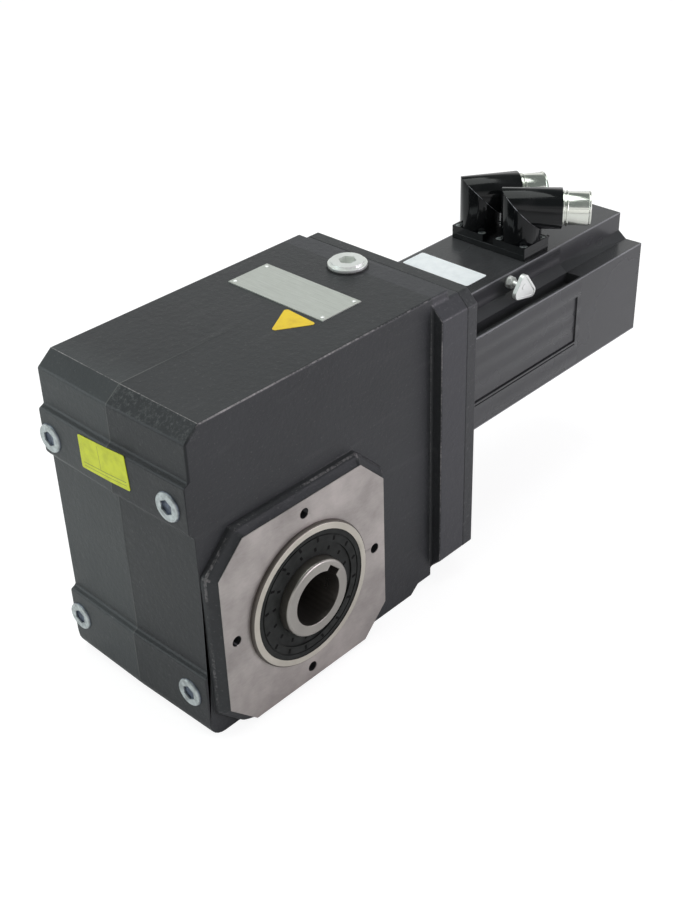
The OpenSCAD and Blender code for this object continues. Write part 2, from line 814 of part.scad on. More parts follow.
module pinion_bearing_balls() color(steel)
    for (x = pinion_brg_x) at_x(x) balls(pinion_brg);

module bevel_pinion_shaft() color(steel) difference() {
    union() {
        translate([mid_x, 0, motor_z]) rotate([0, 90, 0])
            bevel_ring(bevel_teeth, bevel_angle, bevel_shift * bevel_module,
                       90 + 180 / bevel_teeth, bevel_core);
        translate([mid_x, 0, motor_z]) rotate([0, 90, 0]) pinion_blank();
        x_cyl(pinion_brg[0] + 4, heel_x + heel_clear, pinion_brg_x[0]);
        x_cyl(pinion_brg[0], heel_x + heel_clear, pinion_end_x);
    }
    x_cyl(nose_r, nose_x - 1, adapter_x);
}
bevel_core = 6;
heel_clear = 3;

// Core of the bevel pinion under its teeth
module pinion_blank() {
    a = bevel_angle - bevel_core + 1;
    out = cone_len;
    inn = cone_len - bevel_face;
    translate([0, 0, inn * cos(a)])
        cylinder(r1 = inn * sin(a), r2 = out * sin(a), h = (out - inn) * cos(a));
    translate([0, 0, out * cos(a) - eps]) cylinder(r = out * sin(a), h = heel_clear + 1);
}

module pinion_bearing_spacer() color(steel)
    x_tube(pinion_brg[0] + spacer_wall, pinion_brg[0],
           pinion_brg_x[0] + pinion_brg[2], pinion_brg_x[1]);

module pinion_locknut() color(steel) difference() {
    x_tube(locknut_r, pinion_brg[0], locknut_x, locknut_x + locknut_t);
    for (a = [0, 90, 180, 270])
        translate([locknut_x + locknut_t / 2, 0, motor_z]) rotate([a, 0, 0])
            translate([0, 0, locknut_r]) cube([locknut_t + 1, 5, 5], center = true);
}

module pinion_shaft_seal() color(rubber) difference() {
    x_cyl(shaft_seal_r, adapter_x - 1 - shaft_seal_t, adapter_x - 1);
    x_cyl(pinion_brg[0] + turn_gap, flange_x - 1, adapter_x);
}

// ---------- Adapter ----------

module motor_adapter_plate() color(paint) difference() {
    union() {
        along(flange_x, adapter_x) flange_profile();
        x_cyl(pinion_brg[1] - slip, locknut_x, flange_x + 1);
    }
    x_cyl(shaft_seal_r, locknut_x - 1, adapter_x + 1);
    for (y = [-1, 1]) for (z = adapter_screw_z)
        x_cyl(adapter_screw_r + slip, flange_x - 1, adapter_x + 1, y * adapter_screw_y, z);
    for (y = [-1, 1]) for (z = [-1, 1]) {
        x_cyl(mount_screw_r + slip, flange_x - 1, adapter_x + 1,
              y * mount_screw_yz[0], motor_z + z * mount_screw_yz[1]);
        x_cyl(5 + slip, flange_x - 1, flange_x + 6,
              y * mount_screw_yz[0], motor_z + z * mount_screw_yz[1]);
    }
}

module adapter_screws() color(zinc)
    for (y = [-1, 1]) for (z = adapter_screw_z)
        translate([adapter_x, y * adapter_screw_y, z]) rotate([0, 90, 0])
            cap_screw(adapter_screw_r, adapter_t + 14, 6.5, 4.5, 3.4);

module motor_mount_screws() color(zinc)
    for (y = [-1, 1]) for (z = [-1, 1])
        translate([flange_x + 6, y * mount_screw_yz[0], motor_z + z * mount_screw_yz[1]])
            rotate([0, -90, 0]) cap_screw(mount_screw_r, adapter_t + 3, 5, 6, 2.9);

// ---------- Motor ----------

groove_in = 41;
lip = 1.8;
groove_deep = 8;
slope_w = 6.5;
slope_h = 4.5;

// Quarter of the frame's section, as points from the roof to the side
function frame_quarter(grooved) = concat(
    [[roof_half_w, motor_half_h], [roof_half_w, panel_half_h + slope_h],
     [roof_half_w + slope_w, panel_half_h - 0.4]],
    grooved ? [[roof_half_w + slope_w, panel_half_h - groove_deep],
               [motor_half_w - lip, panel_half_h - groove_deep],
               [motor_half_w - lip, panel_half_h]] : [],
    [[motor_half_w, panel_half_h]]);

function flip(pts, sx, sy) = [for (p = pts) [sx * p[0], sy * p[1]]];
function reverse(pts) = [for (i = [len(pts) - 1:-1:0]) pts[i]];

module frame_section(grooved) {
    q = frame_quarter(grooved);
    polygon(concat(q, reverse(flip(q, 1, -1)), flip(q, -1, -1), reverse(flip(q, -1, 1))));
}

module motor_front_shield() color(black) difference() {
    union() {
        along(adapter_x, frame_x) frame_section(true);
        x_cyl(frame_bore / 2 - slip, frame_x - 1, frame_x + shield_spigot);
    }
    x_cyl(motor_brg[0] + 5, adapter_x - 1, frame_x + shield_spigot + 1);
    x_cyl(motor_brg[1], motor_brg_x, frame_x + shield_spigot + 1);
    x_tube(frame_bore / 2 - 5, motor_brg[1] + 6, frame_x, frame_x + shield_spigot + 1);
    for (y = [-1, 1]) for (z = [-1, 1])
        x_cyl(mount_screw_r + slip, adapter_x - 1, adapter_x + 9,
              y * mount_screw_yz[0], motor_z + z * mount_screw_yz[1]);
}

// Long recess of a side panel with two fine lines along its lower edge
panel_sunk = 1.2;
recess_low = -13.8;
recess_high = 21;
fine_line = 0.9;
module side_recess(side) {
    y0 = side * (motor_half_w - panel_sunk / 2);
    translate([frame_x + frame_len / 2 - 1, y0 + side * eps, motor_z + (recess_low + recess_high) / 2])
        cube([frame_len - 6, panel_sunk, recess_high - recess_low], center = true);
    for (z = [recess_low, recess_low - 2.4])
        translate([frame_x + frame_len / 2 - 1, side * motor_half_w, motor_z + z])
            cube([frame_len - 6, 4, fine_line], center = true);
}

module motor_frame() color(black) difference() {
    along(frame_x, rear_x) frame_section(true);
    x_cyl(frame_bore / 2, frame_x - 1, rear_x + 1);
    side_recess(-1);
    side_recess(1);
    for (s = [-1, 1]) translate([plug_x, s * plug_pitch / 2, roof_z - 20])
        cylinder(r = 8, h = 30);
    earth_hole();
}

module stator_core() color(lamination) difference() {
    x_cyl(frame_bore / 2, core_x, core_x + core_len);
    x_cyl(stator_r, core_x - 1, core_x + core_len + 1);
    for (i = [0:slots - 1]) translate([core_x - 1, 0, motor_z]) rotate([i * 360 / slots, 0, 0])
        translate([0, -slot_w / 2, stator_r - 1]) cube([core_len + 2, slot_w, slot_deep]);
}
slots = 12;
slot_w = 7;
slot_deep = 9;

// Windings: coil bars in the slots joined by a ring at each end
module stator_windings() color(copper) {
    for (x = [core_x - 9, core_x + core_len])
        x_tube(stator_r + slot_deep, stator_r + 1.5, x, x + 9);
    for (i = [0:slots - 1]) translate([core_x - eps, 0, motor_z]) rotate([i * 360 / slots, 0, 0])
        translate([0, -slot_w / 2 + slip, stator_r + 2])
            cube([core_len + 2 * eps, slot_w - 2 * slip, slot_deep - 4]);
}

module motor_bearing_outer_rings() color(steel) {
    at_x(motor_brg_x) outer_ring(motor_brg);
    at_x(rear_brg_x) outer_ring(rear_brg);
}

module motor_bearing_inner_rings() color(steel) {
    at_x(motor_brg_x) inner_ring(motor_brg);
    at_x(rear_brg_x) inner_ring(rear_brg);
}

module motor_bearing_balls() color(steel) {
    at_x(motor_brg_x) balls(motor_brg);
    at_x(rear_brg_x) balls(rear_brg);
}

rotor_shaft_r = 14;
motor_key_w = 5;
module motor_shaft() color(steel) difference() {
    union() {
        x_cyl(nose_r - slip, nose_x, motor_brg_x);
        x_cyl(motor_brg[0], motor_brg_x - 1, frame_x + shield_spigot);
        x_cyl(rotor_shaft_r, motor_brg_x + motor_brg[2], rear_brg_x);
        x_cyl(rear_brg[0], rear_brg_x, rear_brg_x + rear_brg[2]);
        x_cyl(nose_r, rear_brg_x, shaft_end_x);
    }
    motor_keyseat();
}

module motor_keyseat() {
    translate([nose_x + 3, -motor_key_w / 2, motor_z + nose_r - 3])
        cube([16, motor_key_w, 3]);
}

module motor_shaft_key() color(steel)
    translate([nose_x + 3, -motor_key_w / 2, motor_z + nose_r - 3])
        intersection() {
            cube([16, motor_key_w, 2.6]);
            translate([0, motor_key_w / 2, 3 - nose_r]) rotate([0, 90, 0])
                cylinder(r = nose_r - slip, h = 16);
        }

module rotor_core() color(lamination)
    x_tube(rotor_core_r, rotor_shaft_r, core_x, core_x + core_len);

magnets = 8;
module rotor_magnets() color([0.3, 0.3, 0.33]) difference() {
    x_tube(rotor_d / 2, rotor_core_r, core_x + 1, core_x + core_len - 1);
    for (i = [0:magnets / 2 - 1]) translate([core_x + core_len / 2, 0, motor_z])
        rotate([i * 360 / magnets, 0, 0]) cube([core_len, 4, rotor_d + 2], center = true);
}

module motor_rear_shield() color(black) difference() {
    x_cyl(frame_bore / 2 - slip, rear_shield_x, rear_x);
    x_cyl(rear_brg[0] + 4, rear_shield_x - 1, rear_x + 1);
    x_cyl(rear_brg[1], rear_brg_x, rear_x + 1);
    x_tube(frame_bore / 2 - 6, rear_brg[1] + 5, rear_shield_x + 6, rear_x + 1);
}

module resolver_rotor() color(lamination)
    x_tube(nose_r + 8, nose_r, resolver_x, resolver_x + resolver_len);

module resolver_stator() color(steel) {
    x_tube(nose_r + 16, nose_r + 9, resolver_x, resolver_x + resolver_len);
    x_tube(rear_brg[1] + 5, rear_brg[1] - 2, rear_x, resolver_x + 1);
}

cover_wall = 4;
module motor_rear_cover() color(black) difference() {
    along(rear_x, end_x) frame_section(false);
    along(rear_x - 1, end_x - cover_wall) offset_section(cover_wall);
    for (y = [-1, 1]) for (z = [-1, 1])
        x_cyl(2 + slip, end_x - 12, end_x + 1, y * 45, motor_z + z * 27);
    for (y = [-1, 1]) for (z = [-1, 1])
        x_cyl(3.8 + slip, end_x - 3.2, end_x + 1, y * 45, motor_z + z * 27);
}

// The frame section made smaller by a wall
module offset_section(t) {
    h = motor_half_h - t;
    w = motor_half_w - t;
    r = roof_half_w - t;
    p = panel_half_h - t;
    difference() {
        polygon([[r, h], [r, p], [w, p], [w, -p], [r, -p], [r, -h],
                 [-r, -h], [-r, -p], [-w, -p], [-w, p], [-r, p], [-r, h]]);
        for (y = [-1, 1]) for (z = [-1, 1])
            translate([y * (w - 4), z * (p - 4)]) square([12, 12], center = true);
    }
}

module rear_cover_screws() color(zinc)
    for (y = [-1, 1]) for (z = [-1, 1])
        translate([end_x - 3.2, y * 45, motor_z + z * 27]) rotate([0, 90, 0])
            cap_screw(2, 8, 3.8, 3, 1.7);

// ---------- Connectors ----------

module connector_base() color(black)
    translate([plug_x, 0, roof_z]) difference() {
        translate([-plug_flange_w / 2, -plug_pitch / 2 - plug_flange_w / 2, 0])
            cube([plug_flange_w, plug_pitch + plug_flange_w, base_h]);
        for (s = [-1, 1]) translate([0, s * plug_pitch / 2, -1]) {
            cylinder(r = 8, h = base_h + 2);
            screw_pattern() cylinder(r = 1.5 + slip, h = base_h + 2);
        }
    }

// Repeats a shape at the four corners of a connector flange
module screw_pattern() {
    for (x = [-1, 1]) for (y = [-1, 1])
        translate([x * plug_screw_pitch / 2, y * plug_screw_pitch / 2, 0]) children();
}

module at_plug(s) {
    translate([plug_x, s * plug_pitch / 2, 0]) children();
}

module connector_flanges() color(black)
    for (s = [-1, 1]) at_plug(s) translate([0, 0, plug_base_z]) difference() {
        union() {
            translate([-plug_flange_w / 2, -plug_flange_w / 2, 0])
                cube([plug_flange_w, plug_flange_w, plug_flange_h]);
            cylinder(r = swivel_r, h = plug_flange_h + swivel_h);
        }
        translate([0, 0, -1]) cylinder(r = 8, h = plug_flange_h + swivel_h + 2);
        screw_pattern() translate([0, 0, -1]) cylinder(r = 1.5 + slip, h = plug_flange_h + 2);
        screw_pattern() translate([0, 0, 2]) cylinder(r = 2.9, h = plug_flange_h);
    }

module connector_screws() color(zinc)
    for (s = [-1, 1]) at_plug(s) translate([0, 0, plug_base_z + 2])
        screw_pattern() cap_screw(1.5, 2 + base_h - 0.5, 2.75, 2.6, 1.25);

// Elbow of a plug: two cylinders cut to a mitre, about the swivel axis
module elbow(dir) {
    r = elbow_d / 2;
    big = 4 * elbow_d;
    rotate([0, 0, dir]) difference() {
        union() {
            intersection() {
                translate([0, 0, plug_flange_z + turn_gap])
                    cylinder(r = r, h = plug_h + elbow_d);
                translate([0, 0, plug_axis_z]) rotate([0, 45, 0])
                    translate([-big / 2, -big / 2, -big]) cube([big, big, big]);
            }
            intersection() {
                translate([-r, 0, plug_axis_z]) rotate([0, 90, 0])
                    cylinder(r = r, h = r + elbow_reach);
                translate([0, 0, plug_axis_z]) rotate([0, 45, 0])
                    translate([-big / 2, -big / 2, 0]) cube([big, big, big]);
            }
        }
        cylinder(r = swivel_r + slip, h = plug_flange_z + swivel_h + turn_gap);
        cylinder(r = 8, h = plug_axis_z);
        translate([0, 0, plug_axis_z]) rotate([0, 90, 0]) cylinder(r = 8, h = elbow_reach);
        translate([elbow_reach - shell_sunk, 0, plug_axis_z]) rotate([0, 90, 0])
            cylinder(r = shell_d / 2, h = shell_sunk + 1);
    }
}
shell_sunk = 8;

module plug_shell(dir) {
    rotate([0, 0, dir]) translate([elbow_reach - shell_sunk, 0, plug_axis_z])
        rotate([0, 90, 0]) difference() {
            cylinder(r = shell_d / 2, h = shell_reach - elbow_reach + shell_sunk);
            translate([0, 0, 1.5])
                cylinder(r = shell_d / 2 - 2, h = shell_reach - elbow_reach + shell_sunk);
            translate([0, 0, -1]) cylinder(r = 7, h = 4);
        }
}

// Moulded insert with its contact pins
module plug_insert(dir, pins, pin_r) {
    rotate([0, 0, dir]) translate([elbow_reach - shell_sunk + 1.5, 0, plug_axis_z])
        rotate([0, 90, 0]) {
            cylinder(r = shell_d / 2 - 2, h = 9);
            for (i = [0:pins - 1]) rotate([0, 0, i * 360 / pins])
                translate([5.6, 0, 8]) cylinder(r = pin_r, h = 9);
        }
}

module power_elbow() color(black) at_plug(-1) elbow(power_dir);
module signal_elbow() color(black) at_plug(1) elbow(signal_dir);
module power_plug_shell() color(zinc) at_plug(-1) plug_shell(power_dir);
module signal_plug_shell() color(zinc) at_plug(1) plug_shell(signal_dir);
module power_plug_insert() color(rubber) at_plug(-1) plug_insert(power_dir, 6, 1);
module signal_plug_insert() color(rubber) at_plug(1) plug_insert(signal_dir, 11, 0.5);

// ---------- Earth terminal ----------

earth_inset = 57.5;
earth_x = rear_x - earth_inset;
earth_z = 46.5;
module at_earth() {
    translate([earth_x, -roof_half_w, motor_z + earth_z]) rotate([90, 0, 0]) children();
}

module earth_hole() {
    at_earth() translate([0, 0, -8]) cylinder(r = 2 + slip, h = 9);
}

// Stud with its washer and nut against the motor frame
module earth_screw() color(zinc) at_earth() {
    translate([0, 0, -7]) cylinder(r = 2, h = saddle_z + saddle_t + 6.6);
    cylinder(r = 4.2, h = 1.2);
    translate([0, 0, 1.2 - eps]) cylinder(r = 4, h = 2.8, $fn = 6);
}

saddle_z = 10.5;
saddle_t = 3;
saddle_corners = [[0, 5], [8, -6], [-6, -3]];

// Rounded three-cornered saddle at the end of the stud
module earth_lug() color(zinc) at_earth() difference() {
    translate([0, 0, saddle_z]) hull()
        for (c = saddle_corners) translate(c) cylinder(r = 3.8, h = saddle_t, $fn = 32);
    translate([0, 0, saddle_z + saddle_t - 0.7]) hull()
        for (c = saddle_corners) translate(c) cylinder(r = 2.4, h = saddle_t, $fn = 32);
    translate([0, 0, saddle_z - 1]) cylinder(r = 2 + slip, h = saddle_t + 2);
}

gear_housing();
side_cover();
side_cover_gasket();
side_cover_screws();
front_pad_screws();
oil_plug();
oil_plug_seal();
nameplate();
output_shaft_seals();
output_bearing_outer_rings();
output_bearing_circlips();
output_bearing_balls();
hollow_shaft();
output_gear();
output_bearing_inner_rings();
output_shaft_circlips();
intermediate_bearing_outer_rings();
intermediate_bearing_balls();
intermediate_pinion_shaft();
crown_wheel();
crown_wheel_key();
intermediate_spacer();
intermediate_bearing_inner_rings();
pinion_bearing_outer_rings();
pinion_bearing_balls();
bevel_pinion_shaft();
pinion_bearing_inner_rings();
pinion_bearing_spacer();
pinion_locknut();
pinion_shaft_seal();
motor_adapter_plate();
adapter_screws();
motor_mount_screws();
motor_front_shield();
motor_frame();
stator_core();
stator_windings();
motor_rear_shield();
motor_bearing_outer_rings();
motor_bearing_balls();
motor_bearing_inner_rings();
motor_shaft();
motor_shaft_key();
rotor_core();
rotor_magnets();
resolver_rotor();
resolver_stator();
motor_rear_cover();
rear_cover_screws();
connector_base();
connector_flanges();
connector_screws();
power_elbow();
power_plug_shell();
power_plug_insert();
signal_elbow();
signal_plug_shell();
signal_plug_insert();
earth_screw();
earth_lug();
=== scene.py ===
"""Right-angle servo gearmotor: cast gear housing with a machined output pad, a hollow
shaft, a servo motor behind it and two angled plug connectors on the motor's roof."""
import math

import bmesh
import bpy
from mathutils import Matrix, Vector


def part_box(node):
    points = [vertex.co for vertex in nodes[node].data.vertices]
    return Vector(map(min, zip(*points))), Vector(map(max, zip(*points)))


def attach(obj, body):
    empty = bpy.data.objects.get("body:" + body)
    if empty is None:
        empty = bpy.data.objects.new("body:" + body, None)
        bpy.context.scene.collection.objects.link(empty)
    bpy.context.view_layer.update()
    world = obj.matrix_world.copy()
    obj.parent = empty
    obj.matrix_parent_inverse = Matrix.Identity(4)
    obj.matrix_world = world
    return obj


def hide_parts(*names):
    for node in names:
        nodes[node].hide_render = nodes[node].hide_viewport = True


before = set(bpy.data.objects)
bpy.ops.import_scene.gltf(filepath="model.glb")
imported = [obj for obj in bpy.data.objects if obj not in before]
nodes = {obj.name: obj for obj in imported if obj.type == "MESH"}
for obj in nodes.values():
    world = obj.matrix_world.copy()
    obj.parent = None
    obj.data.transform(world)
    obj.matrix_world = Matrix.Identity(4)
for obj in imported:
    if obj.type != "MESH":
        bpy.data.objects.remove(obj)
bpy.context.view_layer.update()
MM = 0.001


# ---------------------------------------------------------------- places on the part

def low(node):
    """Lowest corner of a node, in metres."""
    return Vector(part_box(node)[0])


def high(node):
    """Highest corner of a node, in metres."""
    return Vector(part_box(node)[1])


TOP_Z = low("nameplate").z
FOOT_Z = low("gear_housing").z
ROOF_Z = low("connector_base").z
PAD_Y = -71.8 * MM
SPIGOT_R = 47.5 * MM
SPIGOT_Y = low("gear_housing").y
BORE_WALL = 21 * MM
BORE_R = 17.7 * MM
SHAFT_R = 25 * MM
SHAFT_FACE = 79.4 * MM
MOTOR_Z = 56 * MM

# Housing, in its own frame
SIDE_Y = 63 * MM
BAND_X = -76 * MM
PANEL_X = 72.5 * MM
BAND_TOP = 111.5 * MM
FLANGE_FRONT = 120.9 * MM
FLANGE_X = 144.6 * MM
PAD_REACH = 73 * MM
PAD_HOLE_R = 57.5 * MM
BARE_DEPTH = 0.4 * MM
SEAL_FACE = -0.02 * MM
SEAL_LIP = 0.98 * MM

# Pattern draft of the front, and the bead at the parting plane
DRAFT = 0.018
BEAD_HALF = 0.8 * MM
BEAD_HIGH = 0.3 * MM
BEAD_END = 12 * MM
BEAD_LOW = -60 * MM
LEAN_FROM = -60 * MM
FOOT_ROUND = 11 * MM

# Plug connectors
PLUG_X = 267.5 * MM
PLUG_HALF_PITCH = 17.75 * MM
PLUG_AXIS_Z = 139.5 * MM
POWER_DIR = -52
SIGNAL_DIR = -36
ELBOW_R = 13.8 * MM
SEAM_R = 0.24 * MM
SHELL_BEADS = ((27.1, 12.1), (29.6, 11.9), (44.6, 11.6))
BEAD_ROOT = 10.9

# Labels as corners in millimetres: across and up on the front, along and across on top
YELLOW_CORNERS = ((26.1, 107.3), (-15.3, 110.4), (-17.2, 88.0), (25.8, 85.5))
AMBER_CORNERS = ((56.4, -5.6), (54.2, -33.8), (31.2, -19.3))
WHITE_CORNERS = ((201, -25), (201, 31), (222, 31), (222, -25))
LABEL_SUNK = 0.05 * MM

# Small turned marks as (along, radius) in millimetres, and the dashes of painted slit
# shade on each seal as (count, radius, length)
PIN_DOME = ((0, 1.3), (0.25, 1.25), (0.55, 0.9), (0.7, 0.35), (0.7, 0.02), (0, 0.02))
PIN_INSET = 3 * MM
# Roof hole: a dark disc of painted shade, as (along, radius)
ROOF_HOLE_RIM = ((-0.1, 1.6), (0.12, 1.55), (0.12, 0.02), (-0.1, 0.02))
ROOF_HOLE = (298 * MM, -18.1 * MM, ROOF_Z)
SEAL_MARKS = ((16, 36.6, 3.0), (16, 29.8, 2.5))
SEAL_STEP_R = 35

# Motor frame: its rear end, the rib pitch of its side panels, and its lips, where a
# painted highlight runs, as (half width, height over the motor axis)
FRAME_END = 291.5 * MM
RIB_PITCH = 13 * MM
LIP_REACH = 0.75 * MM
MOTOR_LIPS = ((34.2 * MM, ROOF_Z - MOTOR_Z), (53.8 * MM, 34.3 * MM))

# Widths of broken edges on carried-over nodes, in millimetres
BROKEN_EDGES = {
    "side_cover": 0.6, "motor_adapter_plate": 0.8, "motor_front_shield": 0.5,
    "motor_frame": 0.35, "motor_rear_cover": 1.2, "connector_base": 0.5,
    "connector_flanges": 0.5, "power_elbow": 0.6, "signal_elbow": 0.6,
    "power_plug_shell": 0.3, "signal_plug_shell": 0.3, "oil_plug": 0.5,
    "front_pad_screws": 0.35, "adapter_screws": 0.35, "side_cover_screws": 0.35,
    "rear_cover_screws": 0.3, "connector_screws": 0.2, "hollow_shaft": 0.5,
    "earth_lug": 0.3, "earth_screw": 0.2}

# Finishes
PAINT = (0.028, 0.0295, 0.0315)
PAINT_SHEEN = 0.3
MOTOR_COAT = (0.04, 0.041, 0.043)
YELLOW_RULES = ((False, -6.4 * MM, -19 * MM, 19 * MM, 0.22 * MM),
                (False, -8.6 * MM, -19 * MM, 19 * MM, 0.16 * MM),
                (True, 3.2 * MM, -6 * MM, 9 * MM, 0.16 * MM))

# Camera: where it stands, in metres, and how it is turned, in degrees
VIEW_PLACE = (-0.43083, -0.52793, 0.50805)
VIEW_AZIMUTH = -45.20
VIEW_ELEVATION = 33.09
VIEW_ROLL = -2.16
LENS = 54.6
FILM_HEIGHT = 36

# Light: strength of the even fill, and where the white sweep gives way to the ceiling,
# as the sine of the height over the horizon
FILL = 0.42
SWEEP_TOP = 0.3
CEILING_EDGE = 0.56
CEILING = (0.16, 0.18, 0.175)
BENCH_HALF = 6
BENCH_GAP = 0.4 * MM


# ---------------------------------------------------------------- camera and studio

def make_camera():
    """Long view from the front right, about 33 degrees above the bench."""
    azimuth = math.radians(VIEW_AZIMUTH)
    elevation = math.radians(VIEW_ELEVATION)
    roll = math.radians(VIEW_ROLL)
    back = Vector((math.sin(azimuth) * math.cos(elevation),
                   -math.cos(azimuth) * math.cos(elevation), math.sin(elevation)))
    level = Vector((math.cos(azimuth), math.sin(azimuth), 0))
    rise = back.cross(level)
    right = level * math.cos(roll) + rise * math.sin(roll)
    up = rise * math.cos(roll) - level * math.sin(roll)
    data = bpy.data.cameras.new("studio_camera")
    data.sensor_fit = "VERTICAL"
    data.sensor_height = FILM_HEIGHT
    data.lens = LENS
    data.clip_end = 20
    camera = bpy.data.objects.new("studio_camera", data)
    turn = Matrix((right, up, back)).transposed().to_4x4()
    camera.matrix_world = Matrix.Translation(VIEW_PLACE) @ turn
    bpy.context.scene.collection.objects.link(camera)
    bpy.context.scene.camera = camera


def area_lamp(name, place, target, size, watts, tint):
    """Rectangular soft lamp at a place, turned to its target."""
    data = bpy.data.lights.new(name, "AREA")
    data.shape = "RECTANGLE"
    data.size, data.size_y = size
    data.energy = watts
    data.color = tint
    lamp = bpy.data.objects.new(name, data)
    lamp.location = place
    lamp.rotation_euler = (Vector(target) - Vector(place)).to_track_quat("-Z", "Y").to_euler()
    bpy.context.scene.collection.objects.link(lamp)


def make_lights():
    middle = (0.08, 0, 0.05)
    area_lamp("top_softbox", (0.15, 0.25, 1.3), middle, (1.3, 1.1), 10, (0.95, 1, 0.975))
    area_lamp("left_softbox", (-1.05, 0.8, 0.5), middle, (0.9, 0.9), 4.6, (0.86, 1, 1.02))
    area_lamp("right_softbox", (0.75, -1.3, 0.4), middle, (0.9, 0.7), 8.2, (1, 0.925, 1.06))


def make_world():
    """White sweep for the camera; reflections see it too, under a dim ceiling."""
    world = bpy.data.worlds.new("studio_world")
    bpy.context.scene.world = world
    world.use_nodes = True
    tree = world.node_tree
    tree.nodes.clear()
    new = tree.nodes.new
    link = tree.links.new
    out = new("ShaderNodeOutputWorld")
    coord = new("ShaderNodeTexCoord")
    split = new("ShaderNodeSeparateXYZ")
    link(coord.outputs["Generated"], split.inputs[0])
    sky = new("ShaderNodeValToRGB")
    sky.color_ramp.elements[0].position = SWEEP_TOP
    sky.color_ramp.elements[0].color = (1, 1, 1, 1)
    sky.color_ramp.elements[1].position = CEILING_EDGE
    sky.color_ramp.elements[1].color = (*CEILING, 1)
    link(split.outputs["Z"], sky.inputs["Fac"])
    path = new("ShaderNodeLightPath")
    fill = new("ShaderNodeBackground")
    fill.inputs["Color"].default_value = (1, 1, 1, 1)
    fill.inputs["Strength"].default_value = FILL
    mirror = new("ShaderNodeBackground")
    link(sky.outputs["Color"], mirror.inputs["Color"])
    shown = new("ShaderNodeBackground")
    shown.inputs["Color"].default_value = (1, 1, 1, 1)
    for_gloss = new("ShaderNodeMixShader")
    link(path.outputs["Is Glossy Ray"], for_gloss.inputs[0])
    link(fill.outputs[0], for_gloss.inputs[1])
    link(mirror.outputs[0], for_gloss.inputs[2])
    through = new("ShaderNodeMath")
    through.operation = "MAXIMUM"
    link(path.outputs["Is Camera Ray"], through.inputs[0])
    link(path.outputs["Is Transmission Ray"], through.inputs[1])
    last = new("ShaderNodeMixShader")
    link(through.outputs[0], last.inputs[0])
    link(for_gloss.outputs[0], last.inputs[1])
    link(shown.outputs[0], last.inputs[2])
    link(last.outputs[0], out.inputs["Surface"])


def make_floor():
    """White bench, shown white to the camera where no shadow falls."""
    mesh = bpy.data.meshes.new("bench")
    half = BENCH_HALF
    z = FOOT_Z - BENCH_GAP
    mesh.from_pydata([(-half, -half, z), (half, -half, z), (half, half, z), (-half, half, z)],
                     [], [(0, 1, 2, 3)])
    bench = bpy.data.objects.new("bench", mesh)
    bpy.context.scene.collection.objects.link(bench)
    mat = bpy.data.materials.new("bench_white")
    mat.use_nodes = True
    tree = mat.node_tree
    tree.nodes.clear()
    out = tree.nodes.new("ShaderNodeOutputMaterial")
    matte = tree.nodes.new("ShaderNodeBsdfDiffuse")
    matte.inputs["Color"].default_value = (0.9, 0.9, 0.9, 1)
    pale = tree.nodes.new("ShaderNodeBsdfDiffuse")
    pale.inputs["Color"].default_value = (0.26, 0.26, 0.26, 1)
    glow = tree.nodes.new("ShaderNodeEmission")
    glow.inputs["Strength"].default_value = 0.87
    both = tree.nodes.new("ShaderNodeAddShader")
    path = tree.nodes.new("ShaderNodeLightPath")
    mix = tree.nodes.new("ShaderNodeMixShader")
    tree.links.new(path.outputs["Is Camera Ray"], mix.inputs[0])
    tree.links.new(pale.outputs[0], both.inputs[0])
    tree.links.new(glow.outputs[0], both.inputs[1])
    tree.links.new(matte.outputs[0], mix.inputs[1])
    tree.links.new(both.outputs[0], mix.inputs[2])
    tree.links.new(mix.outputs[0], out.inputs["Surface"])
    mesh.materials.append(mat)


make_camera()
make_world()
make_lights()
make_floor()
bpy.context.scene.view_settings.view_transform = "Standard"


# ---------------------------------------------------------------- material building

